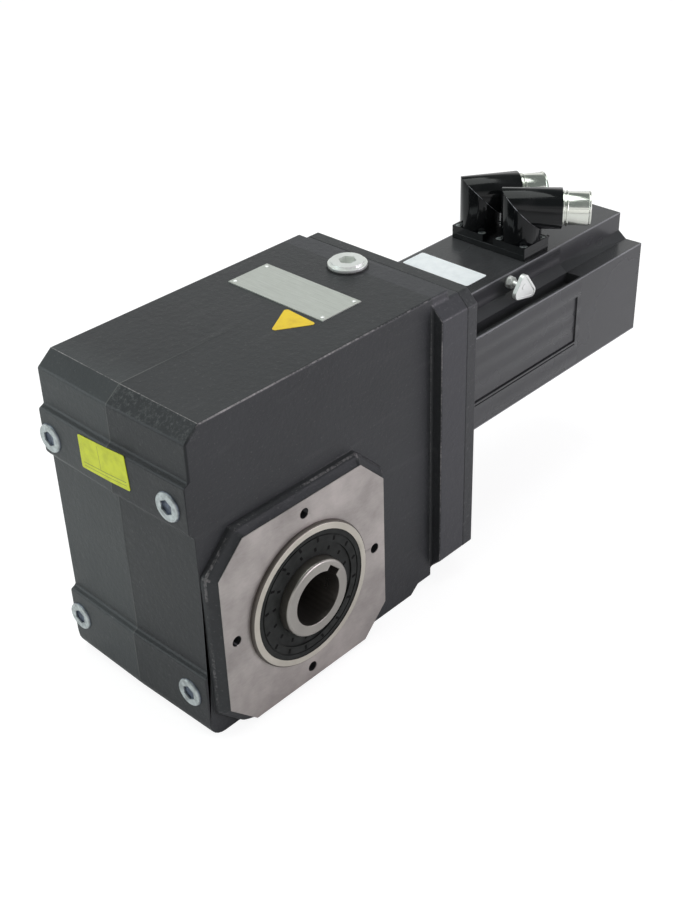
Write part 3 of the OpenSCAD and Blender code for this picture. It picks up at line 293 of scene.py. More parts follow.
class Wiring:
    """Short calls for the nodes of a tree. A value is a number, a colour or a socket."""

    def __init__(self, tree):
        self.tree = tree

    def node(self, kind, **values):
        made = self.tree.nodes.new(kind)
        for key, value in values.items():
            setattr(made, key, value)
        return made

    def link(self, a, b):
        self.tree.links.new(a, b)

    def place(self):
        """Object coordinates in metres."""
        return self.node("ShaderNodeTexCoord").outputs["Object"]

    def feed(self, socket, value):
        if isinstance(value, tuple):
            socket.default_value = (*value, 1) if len(value) == 3 else value
        elif isinstance(value, (int, float)):
            socket.default_value = value
        else:
            self.link(value, socket)

    def noise(self, scale, detail=3.0, rough=0.5, at=None, stretch=None, turn=(0, 0, 0)):
        tex = self.node("ShaderNodeTexNoise")
        self.feed(tex.inputs["Scale"], scale)
        tex.inputs["Detail"].default_value = detail
        tex.inputs["Roughness"].default_value = rough
        at = at or self.place()
        if stretch:
            mapping = self.node("ShaderNodeMapping")
            mapping.inputs["Scale"].default_value = stretch
            mapping.inputs["Rotation"].default_value = turn
            self.link(at, mapping.inputs["Vector"])
            at = mapping.outputs[0]
        self.link(at, tex.inputs["Vector"])
        return tex.outputs["Fac"]

    def ramp(self, fac, stops):
        made = self.node("ShaderNodeValToRGB")
        points = made.color_ramp.elements
        while len(points) < len(stops):
            points.new(0.5)
        for point, (pos, col) in zip(points, stops):
            point.position = pos
            point.color = (*col, 1) if isinstance(col, tuple) else (col, col, col, 1)
        self.link(fac, made.inputs["Fac"])
        return made.outputs["Color"]

    def math(self, op, a, b=0.0):
        made = self.node("ShaderNodeMath", operation=op)
        for i, value in enumerate((a, b)):
            self.feed(made.inputs[i], value)
        return made.outputs[0]

    def span(self, value, start, end):
        """0 at start, 1 at end, straight between them."""
        made = self.node("ShaderNodeMapRange")
        made.inputs["From Min"].default_value = start
        made.inputs["From Max"].default_value = end
        self.link(value, made.inputs["Value"])
        return made.outputs[0]

    def parts(self, vector):
        """X, Y and Z of a vector."""
        made = self.node("ShaderNodeSeparateXYZ")
        self.link(vector, made.inputs[0])
        return made.outputs

    def mix(self, fac, a, b, mode="MIX"):
        made = self.node("ShaderNodeMix", data_type="RGBA", blend_type=mode)
        for socket, value in ((made.inputs[0], fac), (made.inputs[6], a), (made.inputs[7], b)):
            self.feed(socket, value)
        return made.outputs[2]

    def group(self, tree, **values):
        made = self.node("ShaderNodeGroup")
        made.node_tree = tree
        for key, value in values.items():
            self.feed(made.inputs[key], value)
        return made.outputs


class Finish(Wiring):
    """A material under construction."""

    def __init__(self, name, color, rough, metal=0.0):
        self.mat = bpy.data.materials.new(name)
        self.mat.use_nodes = True
        super().__init__(self.mat.node_tree)
        self.shader = self.tree.nodes["Principled BSDF"]
        self.shader.inputs["Base Color"].default_value = (*color, 1)
        self.shader.inputs["Roughness"].default_value = rough
        self.shader.inputs["Metallic"].default_value = metal
        self.height = None

    def bump(self, height, strength, distance):
        made = self.node("ShaderNodeBump")
        made.inputs["Strength"].default_value = strength
        made.inputs["Distance"].default_value = distance
        self.link(height, made.inputs["Height"])
        if self.height:
            self.link(self.height, made.inputs["Normal"])
        self.height = made.outputs[0]
        self.link(self.height, self.shader.inputs["Normal"])

    def set(self, **sockets):
        names = {"color": "Base Color", "rough": "Roughness", "metal": "Metallic"}
        for key, value in sockets.items():
            self.link(value, self.shader.inputs[names[key]])


def new_group(name, inputs, outputs):
    """Empty node group with float or colour sockets: (tree, input sockets, output sockets)."""
    tree = bpy.data.node_groups.new(name, "ShaderNodeTree")
    kinds = {"float": "NodeSocketFloat", "color": "NodeSocketColor"}
    for label, kind, value in inputs:
        socket = tree.interface.new_socket(label, in_out="INPUT", socket_type=kinds[kind])
        socket.default_value = value
    for label, kind in outputs:
        tree.interface.new_socket(label, in_out="OUTPUT", socket_type=kinds[kind])
    enter = tree.nodes.new("NodeGroupInput")
    leave = tree.nodes.new("NodeGroupOutput")
    return tree, enter.outputs, leave.inputs


def build_dust_group():
    """Pale specks and rubbed streaks of handling dirt, as a mask from 0 to 1."""
    tree, enter, leave = new_group(
        "handling_dirt",
        [("Speck Scale", "float", 900.0), ("Speck Share", "float", 0.3),
         ("Streak Share", "float", 0.2)],
        [("Mask", "float")])
    g = Wiring(tree)
    place = g.place()
    specks = g.span(g.noise(enter["Speck Scale"], 2, 0.5, place), 0.62, 0.74)
    streaks = g.noise(1, 5, 0.5, place, (18, 160, 160), (0.6, 0.3, 0.9))
    both = g.math("ADD", g.math("MULTIPLY", specks, enter["Speck Share"]),
                  g.math("MULTIPLY", g.span(streaks, 0.58, 0.82), enter["Streak Share"]))
    both.node.use_clamp = True
    g.link(both, leave["Mask"])
    return tree


def build_rub_group():
    """Broken paint along a rounding: an edge mask thinned out by two sizes of noise."""
    tree, enter, leave = new_group(
        "rubbed_edges", [("Edge", "float", 0.0), ("Chip Scale", "float", 400.0),
                         ("Reach", "float", 0.5)], [("Mask", "float")])
    g = Wiring(tree)
    place = g.place()
    chips = g.noise(enter["Chip Scale"], 5, 0.7, place)
    runs = g.noise(16, 2, 0.5, place)
    both = g.math("ADD", g.math("MULTIPLY", runs, 1.1), chips)
    worn = g.span(g.math("MULTIPLY", both, enter["Edge"]), 0.82, 1.25)
    g.link(g.math("MULTIPLY", worn, enter["Reach"]), leave["Mask"])
    return tree


DIRT = build_dust_group()
RUB = build_rub_group()


# ---------------------------------------------------------------- finishes

def painted_casting():
    """Satin charcoal paint on an iron casting, rubbed pale along its edges, with painted shade
    in its creases and by its centring ring, painted light on parts of its front and flange,
    and the output pad and its centring ring left as bare machined iron."""
    f = Finish("charcoal_paint_on_casting", PAINT, 0.42)
    f.shader.inputs["Specular IOR Level"].default_value = PAINT_SHEEN
    place = f.place()
    blotch = f.noise(14, 4, 0.55, place)
    paint = f.ramp(blotch, [(0.3, tuple(0.82 * c for c in PAINT)),
                            (0.7, tuple(1.15 * c for c in PAINT))])
    dirt = f.group(DIRT, **{"Speck Scale": 620.0, "Speck Share": 0.2, "Streak Share": 0.12})
    paint = f.mix(dirt["Mask"], paint, (0.15, 0.15, 0.146))
    at = f.parts(place)
    on_slope = f.math("MULTIPLY", f.math("GREATER_THAN", at["Z"], TOP_Z - 8 * MM),
                      f.math("MULTIPLY", f.math("LESS_THAN", at["X"], -62 * MM),
                             f.math("LESS_THAN", at["Y"], 0.0)))
    scuffs = f.ramp(f.noise(380, 5, 0.7, place), [(0.5, 0.0), (0.72, 0.5)])
    paint = f.mix(f.math("MULTIPLY", on_slope, scuffs), paint, (0.16, 0.17, 0.165))
    rub = f.group(RUB, **{"Edge": f.node("ShaderNodeAttribute", attribute_name="rub")
                          .outputs["Fac"], "Chip Scale": 420.0, "Reach": 0.8})
    paint = f.mix(rub["Mask"], paint, (0.4, 0.38, 0.375))
    # painted shade: inner roundings and the shaded front corner are darkened toward near black
    crease_shade = f.node("ShaderNodeAttribute", attribute_name="crease_shade").outputs["Fac"]
    paint = f.mix(f.math("MULTIPLY", crease_shade, 0.5), paint, (0.012, 0.013, 0.015))
    # painted light: the far half of the front is lightened in place of the shading its draft
    # gives
    lit_far_half = f.math("MULTIPLY", f.math("GREATER_THAN", at["Y"], 0.0),
                      f.span(at["X"], -40 * MM, -62 * MM))
    paint = f.mix(f.math("MULTIPLY", lit_far_half, 0.13), paint, (0.14, 0.16, 0.16))
    # painted highlight: a broken pale line along the parting bead on the front and top
    bead_fade = f.span(at["X"], BEAD_END, -50 * MM)
    bead_highlight = f.math("MULTIPLY", f.ramp(blotch, [(0.35, 0.05), (0.6, 0.4)]),
                   f.math("MULTIPLY", bead_fade,
                          f.math("LESS_THAN", f.math("ABSOLUTE", at["Y"]),
                                 0.55 * BEAD_HALF)))
    paint = f.mix(bead_highlight, paint, (0.2, 0.2, 0.19))
    # painted light: the motor flange is lightened toward the lilac of the lamps that fall on it
    flange = f.math("GREATER_THAN", at["X"], FLANGE_FRONT + 0.5 * MM)
    paint = f.mix(f.math("MULTIPLY", flange, 0.12), paint, (0.15, 0.145, 0.17))
    bare = f.math("LESS_THAN", at["Y"], PAD_Y + BARE_DEPTH)
    radius = f.math("SQRT", f.math("ADD", f.math("POWER", at["X"], 2.0),
                                   f.math("POWER", at["Z"], 2.0)))
    rings = f.math("SINE", f.math("MULTIPLY", radius, 7000))
    stain = f.noise(34, 5, 0.6, place)
    lay = f.noise(1, 3, 0.6, place, (260, 260, 1500))
    iron = f.ramp(stain, [(0.3, (0.3, 0.275, 0.26)), (0.68, (0.53, 0.49, 0.462))])
    iron = f.mix(0.2, iron, f.ramp(lay, [(0.3, (0.25, 0.23, 0.22)), (0.7, (0.44, 0.41, 0.39))]))
    rim = f.math("LESS_THAN", radius, SPIGOT_R - 0.05 * MM)
    iron = f.mix(rim, iron, f.ramp(stain, [(0.3, (0.46, 0.43, 0.37)), (0.7, (0.6, 0.57, 0.5))]))
    # painted shadow: the outer wall of the centring ring is darkened toward dark brown
    wall_shade = f.math("MULTIPLY", f.math("GREATER_THAN", at["Y"], SPIGOT_Y + 0.15 * MM),
                  f.math("MULTIPLY", f.math("LESS_THAN", radius, SPIGOT_R + 0.3 * MM),
                         f.math("LESS_THAN", at["Y"], PAD_Y - 0.1 * MM)))
    iron = f.mix(f.math("MULTIPLY", wall_shade, 0.88), iron, (0.06, 0.05, 0.045))
    f.set(color=f.mix(bare, paint, iron),
          rough=f.mix(bare, f.ramp(blotch, [(0.3, 0.34), (0.7, 0.47)]),
                      f.ramp(stain, [(0.3, 0.36), (0.7, 0.5)])),
          metal=f.math("MULTIPLY", bare, 0.7))
    painted = f.math("SUBTRACT", 1, bare)
    coarse = f.noise(260, 4, 0.6, place)
    f.bump(f.math("MULTIPLY", coarse, painted), 0.28, 0.0008)
    f.bump(f.math("MULTIPLY", f.noise(1100, 3, 0.6, place), painted), 0.22, 0.0003)
    f.bump(f.math("MULTIPLY", rings, bare), 0.05, 0.0002)
    return f.mat


def rough_plate():
    """The same paint on the coarser skin of the adapter plate and side cover."""
    f = Finish("charcoal_paint_on_plate", PAINT, 0.45)
    f.shader.inputs["Specular IOR Level"].default_value = PAINT_SHEEN + 0.1
    place = f.place()
    grit = f.noise(340, 4, 0.7, place)
    dirt = f.group(DIRT, **{"Speck Scale": 480.0, "Speck Share": 0.3, "Streak Share": 0.1})
    paint = f.ramp(grit, [(0.35, tuple(0.8 * c for c in PAINT)),
                          (0.65, tuple(1.25 * c for c in PAINT))])
    f.set(color=f.mix(dirt["Mask"], paint, (0.17, 0.17, 0.165)),
          rough=f.ramp(grit, [(0.3, 0.38), (0.7, 0.55)]))
    f.bump(grit, 0.35, 0.0007)
    return f.mat


def black_motor():
    """Glossy black coat of the motor, with soft ribs drawn along its side panels and a painted
    highlight along the lips of its roof and panels.
    """
    f = Finish("black_motor_coat", MOTOR_COAT, 0.26)
    place = f.place()
    blotch = f.noise(9, 4, 0.6, place)
    dirt = f.group(DIRT, **{"Speck Scale": 1200.0, "Speck Share": 0.06, "Streak Share": 0.07})
    coat = f.ramp(blotch, [(0.3, tuple(0.85 * c for c in MOTOR_COAT)),
                           (0.75, tuple(1.2 * c for c in MOTOR_COAT))])
    f.set(rough=f.ramp(blotch, [(0.3, 0.2), (0.7, 0.31)]))
    at = f.parts(place)
    across = f.math("ABSOLUTE", at["Y"])
    height = f.math("ABSOLUTE", f.math("SUBTRACT", at["Z"], MOTOR_Z))
    # painted highlight: pale lines along the roof lip and the side panels' top lip
    lip_highlight = None
    for y, z in MOTOR_LIPS:
        near = f.math("MULTIPLY", f.math("LESS_THAN", f.math("ABSOLUTE", f.math(
            "SUBTRACT", across, y)), LIP_REACH), f.math("LESS_THAN", f.math(
                "ABSOLUTE", f.math("SUBTRACT", height, z)), LIP_REACH))
        lip_highlight = near if lip_highlight is None else f.math("MAXIMUM", lip_highlight, near)
    f.set(color=f.mix(f.math("MULTIPLY", lip_highlight, f.ramp(blotch, [(0.3, 0.2), (0.7, 0.75)])),
                      f.mix(dirt["Mask"], coat, (0.16, 0.16, 0.16)), (0.3, 0.3, 0.32)))
    on_frame = f.math("LESS_THAN", at["X"], FRAME_END)
    ribs = f.math("SINE", f.math("MULTIPLY", at["Z"], 2 * math.pi / RIB_PITCH))
    f.bump(f.math("MULTIPLY", ribs, on_frame), 0.5, 0.0006)
    f.bump(f.noise(1900, 2, 0.5, place), 0.1, 0.0002)
    return f.mat


def gloss_black():
    """Hard gloss coat on the plug housings, a little rubbed."""
    f = Finish("gloss_black_plug_coat", (0.006, 0.0065, 0.007), 0.14)
    f.shader.inputs["Specular IOR Level"].default_value = 0.3
    rub = f.noise(60, 3, 0.5)
    f.set(color=f.ramp(rub, [(0.5, (0.005, 0.0055, 0.006)), (0.85, (0.016, 0.016, 0.017))]),
          rough=f.ramp(rub, [(0.35, 0.1), (0.75, 0.18)]))
    return f.mat


def plated(name, color, rough, scale=400, metal=0.95, dulled=0.74):
    """Bright plated metal with faint mottling."""
    f = Finish(name, color, rough, metal)
    spots = f.noise(scale, 4, 0.6)
    dull = tuple(dulled * c for c in color)
    f.set(color=f.ramp(spots, [(0.35, dull), (0.6, color)]),
          rough=f.ramp(spots, [(0.3, rough), (0.75, rough + 0.14)]))
    f.bump(spots, 0.05, 0.0003)
    return f.mat


def socket_screw():
    """Bright rim of the front screws, and dark blue painted shade in their sockets, told apart
    by depth.
    """
    f = Finish("front_screw_zinc", (0.66, 0.7, 0.7), 0.36, 0.45)
    place = f.place()
    at = f.parts(place)
    deep = f.span(at["X"], BAND_X - 1.4 * MM, BAND_X - 0.4 * MM)
    spots = f.noise(300, 4, 0.6, place)
    rim = f.ramp(spots, [(0.35, (0.36, 0.39, 0.39)), (0.6, (0.58, 0.62, 0.62))])
    # painted shade: the deep socket is darkened toward dark blue
    socket_shade = f.ramp(spots, [(0.35, (0.05, 0.06, 0.08)), (0.65, (0.16, 0.19, 0.25))])
    f.set(color=f.mix(deep, rim, socket_shade), rough=f.ramp(spots, [(0.3, 0.34),
                                                                       (0.7, 0.5)]))
    return f.mat


def worn_seam():
    """Edge of the mitre in the plug elbows, its black coat rubbed through in places."""
    f = Finish("worn_mitre_seam", (0.2, 0.2, 0.21), 0.35)
    rub = f.noise(260, 4, 0.6)
    f.set(color=f.ramp(rub, [(0.42, (0.012, 0.012, 0.014)), (0.62, (0.3, 0.31, 0.33))]))
    return f.mat


def stamped_plate():
    """Satin aluminium of the nameplate, brushed along its length."""
    f = Finish("brushed_nameplate", (0.5, 0.515, 0.46), 0.38, 0.55)
    place = f.place()
    brush = f.noise(1, 4, 0.6, place, (2600, 60, 60))
    wear = f.noise(120, 4, 0.6, place)
    shade = f.ramp(brush, [(0.3, (0.5, 0.52, 0.48)), (0.7, (0.66, 0.685, 0.64))])
    f.set(color=f.mix(f.math("MULTIPLY", wear, 0.35), shade, (0.36, 0.37, 0.33)),
          rough=f.ramp(wear, [(0.3, 0.32), (0.7, 0.46)]))
    f.bump(brush, 0.06, 0.0001)
    return f.mat


def sheet_label(name, color, dark, ruled=None):
    """Printed foil, slightly soiled. ruled is the place, tilt and lines of its table."""
    f = Finish(name, color, 0.36)
    place = f.place()
    soil = f.noise(150, 4, 0.6, place)
    shade = f.ramp(soil, [(0.4, color), (0.8, dark)])
    if ruled:
        shade = f.mix(ruled_lines(f, place, *ruled), shade, (0.05, 0.05, 0.03))
    f.set(color=shade, rough=f.ramp(soil, [(0.3, 0.3), (0.7, 0.46)]))
    f.bump(soil, 0.05, 0.0002)
    return f.mat


def ruled_lines(f, place, axes, centre, tilt, lines):
    """Mask of straight rules on a label: each is (across, offset, from, to, half width)."""
    at = f.parts(place)
    a = f.math("SUBTRACT", at[axes[0]], centre[0])
    b = f.math("SUBTRACT", at[axes[1]], centre[1])
    cos, sin = math.cos(tilt), math.sin(tilt)
    along = f.math("ADD", f.math("MULTIPLY", a, cos), f.math("MULTIPLY", b, sin))
    up = f.math("SUBTRACT", f.math("MULTIPLY", b, cos), f.math("MULTIPLY", a, sin))
    total = None
    for across, offset, start, end, half in lines:
        run, level = (up, along) if across else (along, up)
        near = f.math("LESS_THAN", f.math("ABSOLUTE", f.math("SUBTRACT", level, offset)), half)
        middle = (start + end) / 2
        reach = f.math("LESS_THAN", f.math("ABSOLUTE", f.math("SUBTRACT", run, middle)),
                       (end - start) / 2)
        line = f.math("MULTIPLY", near, reach)
        total = line if total is None else f.math("MAXIMUM", total, line)
    return f.math("MULTIPLY", total, 0.75)


def turned_steel(name, color, rough, metal=0.9, bore=None):
    """Turned steel with fine rings round the shaft axis along Y; given a bore radius, it paints
    shade inside the bore and stains the journal brown.
    """
    f = Finish(name, color, rough, metal)
    place = f.place()
    lines = f.noise(1, 3, 0.5, place, (60, 3600, 60))
    stain = f.noise(45, 3, 0.5, place)
    dark = tuple(0.8 * c for c in color)
    shade = f.ramp(stain, [(0.3, dark), (0.7, color)])
    shade = f.mix(0.25, shade, f.ramp(lines, [(0.3, dark), (0.7, color)]))
    if bore:
        at = f.parts(place)
        radius = f.math("SQRT", f.math("ADD", f.math("POWER", at["X"], 2.0),
                                       f.math("POWER", at["Z"], 2.0)))
        hidden = f.math("LESS_THAN", f.math("ABSOLUTE", at["Y"]), SHAFT_FACE)
        # painted shade: the inside of the bore and the face next to it are darkened toward
        # black brown
        bore_shade = f.math("MAXIMUM", f.math("LESS_THAN", radius, BORE_R),
                        f.math("MULTIPLY", hidden, f.math("LESS_THAN", radius, bore)))
        shade = f.mix(f.math("MULTIPLY", bore_shade, 0.78), shade, (0.04, 0.034, 0.03))
        journal = f.math("MULTIPLY", f.math("GREATER_THAN", radius, SHAFT_R - 0.3 * MM),
                         f.math("LESS_THAN", f.math("ABSOLUTE", at["Y"]),
                                SHAFT_FACE - 0.8 * MM))
        shade = f.mix(f.math("MULTIPLY", journal, 0.6), shade, (0.1, 0.09, 0.07))
    f.set(color=shade, rough=f.ramp(stain, [(0.3, rough - 0.04), (0.7, rough + 0.08)]))
    f.bump(lines, 0.06, 0.0002)
    return f.mat


def seal_rubber():
    """Black nitrile of the shaft seals, wet with oil in places."""
    f = Finish("oily_seal_rubber", (0.02, 0.021, 0.02), 0.5)
    f.shader.inputs["Specular IOR Level"].default_value = 0.08
    place = f.place()
    wet = f.noise(120, 4, 0.6, place)
    f.set(color=f.ramp(wet, [(0.35, (0.016, 0.017, 0.016)), (0.7, (0.032, 0.034, 0.032))]),
          rough=f.ramp(wet, [(0.35, 0.38), (0.7, 0.6)]))
    f.bump(f.noise(1500, 2, 0.5, place), 0.1, 0.0002)
    return f.mat


def plain_rubber(name="black_moulding", color=(0.02, 0.02, 0.02), sheen=0.5):
    """Dull black moulding, and the painted shade of small pits and slits."""
    f = Finish(name, color, 0.6)
    f.shader.inputs["Specular IOR Level"].default_value = sheen
    f.set(color=f.ramp(f.noise(300), [(0.3, tuple(0.8 * c for c in color)),
                                      (0.7, tuple(1.5 * c for c in color))]))
    return f.mat


def copper_wire():
    """Varnished copper strands of the windings."""
    f = Finish("varnished_copper", (0.5, 0.2, 0.08), 0.35, 0.9)
    strands = f.noise(1, 2, 0.5, None, (40, 900, 900))
    f.set(color=f.ramp(strands, [(0.3, (0.35, 0.12, 0.05)), (0.7, (0.6, 0.26, 0.1))]))
    f.bump(strands, 0.4, 0.0006)
    return f.mat


def sheet_stack():
    """Edges of the stacked electrical sheets."""
    f = Finish("stacked_sheets", (0.2, 0.2, 0.21), 0.45, 0.8)
    sheets = f.noise(1, 1, 0.5, None, (2200, 1, 1))
    f.set(color=f.ramp(sheets, [(0.4, (0.14, 0.14, 0.15)), (0.6, (0.26, 0.26, 0.27))]))
    f.bump(sheets, 0.3, 0.0003)
    return f.mat


CAST = painted_casting()
PLATE = rough_plate()
MOTOR = black_motor()
PLUG = gloss_black()
ZINC = plated("bright_zinc", (0.86, 0.88, 0.85), 0.27, 40, 0.6, 0.94)
NICKEL = plated("bright_nickel", (0.8, 0.82, 0.75), 0.14, 60, 0.95, 0.9)
SCREW = plated("dull_zinc_screw", (0.4, 0.43, 0.43), 0.42, 700, 0.7)
FRONT_SCREW = socket_screw()
SEAM = worn_seam()
NAMEPLATE = stamped_plate()
SHAFT = turned_steel("turned_shaft_steel", (0.4, 0.38, 0.35), 0.3, 0.85, BORE_WALL)
STEEL = turned_steel("ground_steel", (0.5, 0.5, 0.5), 0.25)
SEAL = seal_rubber()
RUBBER = plain_rubber()
# near black with little sheen: painted shade for pits, slits and holes
PIT_SHADE = plain_rubber("pit_shade", (0.005, 0.005, 0.005), 0.05)
COPPER = copper_wire()
SHEETS = sheet_stack()
YELLOW = sheet_label("yellow_label", (0.68, 0.73, 0.008), (0.52, 0.56, 0.02),
                     ("YZ", (4.8 * MM, 97.8 * MM), -0.075, YELLOW_RULES))
AMBER = sheet_label("amber_patch", (0.82, 0.58, 0.012), (0.68, 0.45, 0.02))
WHITE = sheet_label("white_label", (0.88, 0.92, 0.93), (0.76, 0.8, 0.82))


# ---------------------------------------------------------------- rounded castings

def bench_copy(node):
    """Welded copy of a carried-over node, its flat faces joined up."""
    bm = bmesh.new()
    bm.from_mesh(nodes[node].data)
    bm.edges.layers.float.new("bevel_weight_edge")
    bmesh.ops.remove_doubles(bm, verts=bm.verts, dist=2e-6)
    bmesh.ops.dissolve_limit(bm, angle_limit=math.radians(0.5), verts=bm.verts,
                             edges=bm.edges, delimit={"NORMAL"})
    return bm


def finish_piece(bm, name, body, mat, smooth_below=35):
    """Turns a bmesh into a piece that rides on a body."""
    mesh = bpy.data.meshes.new(name)
    bm.to_mesh(mesh)
    bm.free()
    mesh.materials.append(mat)
    mesh.shade_smooth()
    mesh.set_sharp_from_angle(angle=math.radians(smooth_below))
    piece = bpy.data.objects.new(name, mesh)
    bpy.context.scene.collection.objects.link(piece)
    piece.modifiers.new("even_shading", "WEIGHTED_NORMAL").keep_sharp = True
    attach(piece, body)
    return piece


def rounded(bm, radii, segments=3):
    """Rounds each given edge to its own radius and marks where the roundings run."""
    widest = max(radii.values())
    layer = bm.edges.layers.float["bevel_weight_edge"]
    for edge, radius in radii.items():
        edge[layer] = radius / widest
    mesh = bpy.data.meshes.new("rounding")
    bm.to_mesh(mesh)
    bm.free()
    mesh.materials.append(CAST)
    mesh.materials.append(PLATE)
    helper = bpy.data.objects.new("rounding", mesh)
    bpy.context.scene.collection.objects.link(helper)
    bevel = helper.modifiers.new("rounding", "BEVEL")
    bevel.limit_method = "WEIGHT"
    bevel.width = widest
    bevel.segments = segments
    bevel.material = 1
    bevel.use_clamp_overlap = False
    shaped = helper.evaluated_get(bpy.context.evaluated_depsgraph_get())
    done = bmesh.new()
    done.from_mesh(shaped.to_mesh())
    bpy.data.objects.remove(helper)
    mark_rounding(done)
    return done


def wear_and_rim_highlight(co):
    """How far handling has rubbed an outer edge of the casting, from 0 to 1; along the output
    pad's rim it also stands for a painted highlight.
    """
    if co.x > FLANGE_FRONT - 1 * MM:
        return 0.85
    if co.z > TOP_Z - 2 * MM and abs(co.y) > SIDE_Y - 3 * MM:
        return 1
    if co.z > TOP_Z - 12 * MM and co.x < -58 * MM:
        return 0.95 if co.y < 0 and co.z < TOP_Z - 4 * MM else 0.5
    # rubbed paint, and a painted highlight along the pad's rolled rim
    if co.y < -SIDE_Y - 1 * MM:
        return 0.8
    return 0.62


def mark_rounding(bm):
    """Vertex masks: rub along outer roundings, painted shade along inner ones."""
    bm.verts.layers.float.new("rub")
    bm.verts.layers.float.new("crease_shade")
    rub = bm.verts.layers.float["rub"]
    crease_shade = bm.verts.layers.float["crease_shade"]
    for vert in bm.verts:
        if all(face.material_index == 1 for face in vert.link_faces):
            bend = sum(edge.calc_face_angle_signed(0) for edge in vert.link_edges)
            # painted shadow: the upper front corner beside the pad gets a stronger darkening
            shaded = (vert.co.x < BAND_X + 10 * MM and vert.co.y < 3 * MM - SIDE_Y
                      and vert.co.z > BAND_TOP - 3.5 * MM)
            if bend <= 0 or shaded:
                vert[crease_shade] = 1.7 if shaded else 1
            else:
                vert[rub] = wear_and_rim_highlight(vert.co)
    for face in bm.faces:
        face.material_index = 0


def seen_from_side(edge):
    """Middle of an edge in X and Z."""
    a, b = edge.verts
    return Vector(((a.co.x + b.co.x) / 2, (a.co.z + b.co.z) / 2))


def near_segment(point, start, end):
    """Whether a 2D point lies on a segment."""
    span = end - start
    share = max(0, min(1, (point - start).dot(span) / span.length_squared))
    return (point - start - span * share).length < 0.3 * MM


def body_outline(bm):
    """Segments of the housing's outline in X and Z, read off its open side."""
    segments = []
    for edge in bm.edges:
        a, b = (vert.co for vert in edge.verts)
        flat = abs(a.y + SIDE_Y) < 0.01 * MM and abs(b.y + SIDE_Y) < 0.01 * MM
        if not flat or edge.calc_face_angle(0) < math.radians(12):
            continue
        inside_pad = max(abs(a.x), abs(b.x)) < PAD_REACH
        if inside_pad and any(f.calc_center_median().y < -SIDE_Y - 0.1 * MM
                              for f in edge.link_faces):
            continue
        segments.append((Vector((a.x, a.z)), Vector((b.x, b.z))))
    return segments


def pad_radius(edge, middle):
    """Radius of an edge on the cast part of the output pad, or None."""
    reach = math.hypot(middle.x, middle.z)
    if middle.y < SPIGOT_Y + 0.1 * MM and reach > SPIGOT_R - 1 * MM:
        return 1.6 * MM
    if reach < SPIGOT_R + 3 * MM or abs(middle.x) > PAD_REACH:
        return None
    for turn in range(4):
        hole = Vector((math.cos(turn * math.pi / 2), 0, math.sin(turn * math.pi / 2)))
        if (Vector((middle.x, 0, middle.z)) - hole * PAD_HOLE_R).length < 5 * MM:
            return None
    if middle.y < PAD_Y + 1.5 * MM:
        return None
    if middle.y > -SIDE_Y - 0.05 * MM:
        roomy = all(vert.co.x > -PANEL_X + 3 * MM and vert.co.z > FOOT_Z + 3 * MM
                    for vert in edge.verts)
        return 1.0 * MM if roomy else None
    return 2.3 * MM


def outline_radius(middle):
    """Radius of an edge where the housing's side meets its front, top or foot."""
    front = middle.x < -62 * MM and middle.z < BAND_TOP
    if middle.y < 0 and (front or middle.z < FOOT_Z + 1 * MM):
        return 0.45 * MM
    return 1.5 * MM


def flange_radius(edge, middle):
    """Radius of an edge on the motor flange, or None."""
    outer = abs(middle.y) > SIDE_Y - 0.1 * MM or middle.z > 137.5 * MM or middle.z < -55.5 * MM
    if not outer:
        return None
    if middle.x > FLANGE_X - 0.1 * MM:
        return 0.5 * MM
    if not edge.is_convex:
        return 1.8 * MM
    return 1.2 * MM


def casting_radii(bm):
    """Radius of every edge that the foundry left round."""
    outline = body_outline(bm)
    corners = [end for segment in outline for end in segment]
    radii = {}
    for edge in bm.edges:
        if not edge.is_manifold or edge.calc_face_angle() < math.radians(24):
            continue
        middle = (edge.verts[0].co + edge.verts[1].co) / 2
        side = seen_from_side(edge)
        radius = None
        if middle.x > FLANGE_FRONT - 0.1 * MM:
            radius = flange_radius(edge, middle)
        elif middle.y < -SIDE_Y - 0.05 * MM:
            radius = pad_radius(edge, middle)
        elif abs(abs(middle.y) - SIDE_Y) < 0.05 * MM:
            if any(near_segment(side, *segment) for segment in outline):
                radius = outline_radius(middle)
            elif middle.y < 0:
                radius = pad_radius(edge, middle)
        elif any((side - corner).length < 0.3 * MM for corner in corners):
            radius = 0.5 * MM if middle.z > TOP_Z - 1 * MM else 1.4 * MM
        if radius:
            radii[edge] = radius
    return radii, outline


def round_foot(bm):
    """Draws the chamfered front of the foot out to the foundry's round corner."""
    middle_x, middle_z = BAND_X + FOOT_ROUND, FOOT_Z + FOOT_ROUND
    slack = 0.1 * MM
    for side in (-1, 1):
        corner = [vert for vert in bm.verts if abs(vert.co.y - side * SIDE_Y) < slack
                  and vert.co.x < middle_x + slack and vert.co.z < middle_z + slack]
        corner.sort(key=lambda vert: vert.co.x - vert.co.z)
        for count, vert in enumerate(corner):
            turn = math.pi / 2 * count / (len(corner) - 1)
            vert.co.x = middle_x - FOOT_ROUND * math.cos(turn)
            vert.co.z = middle_z - FOOT_ROUND * math.sin(turn)


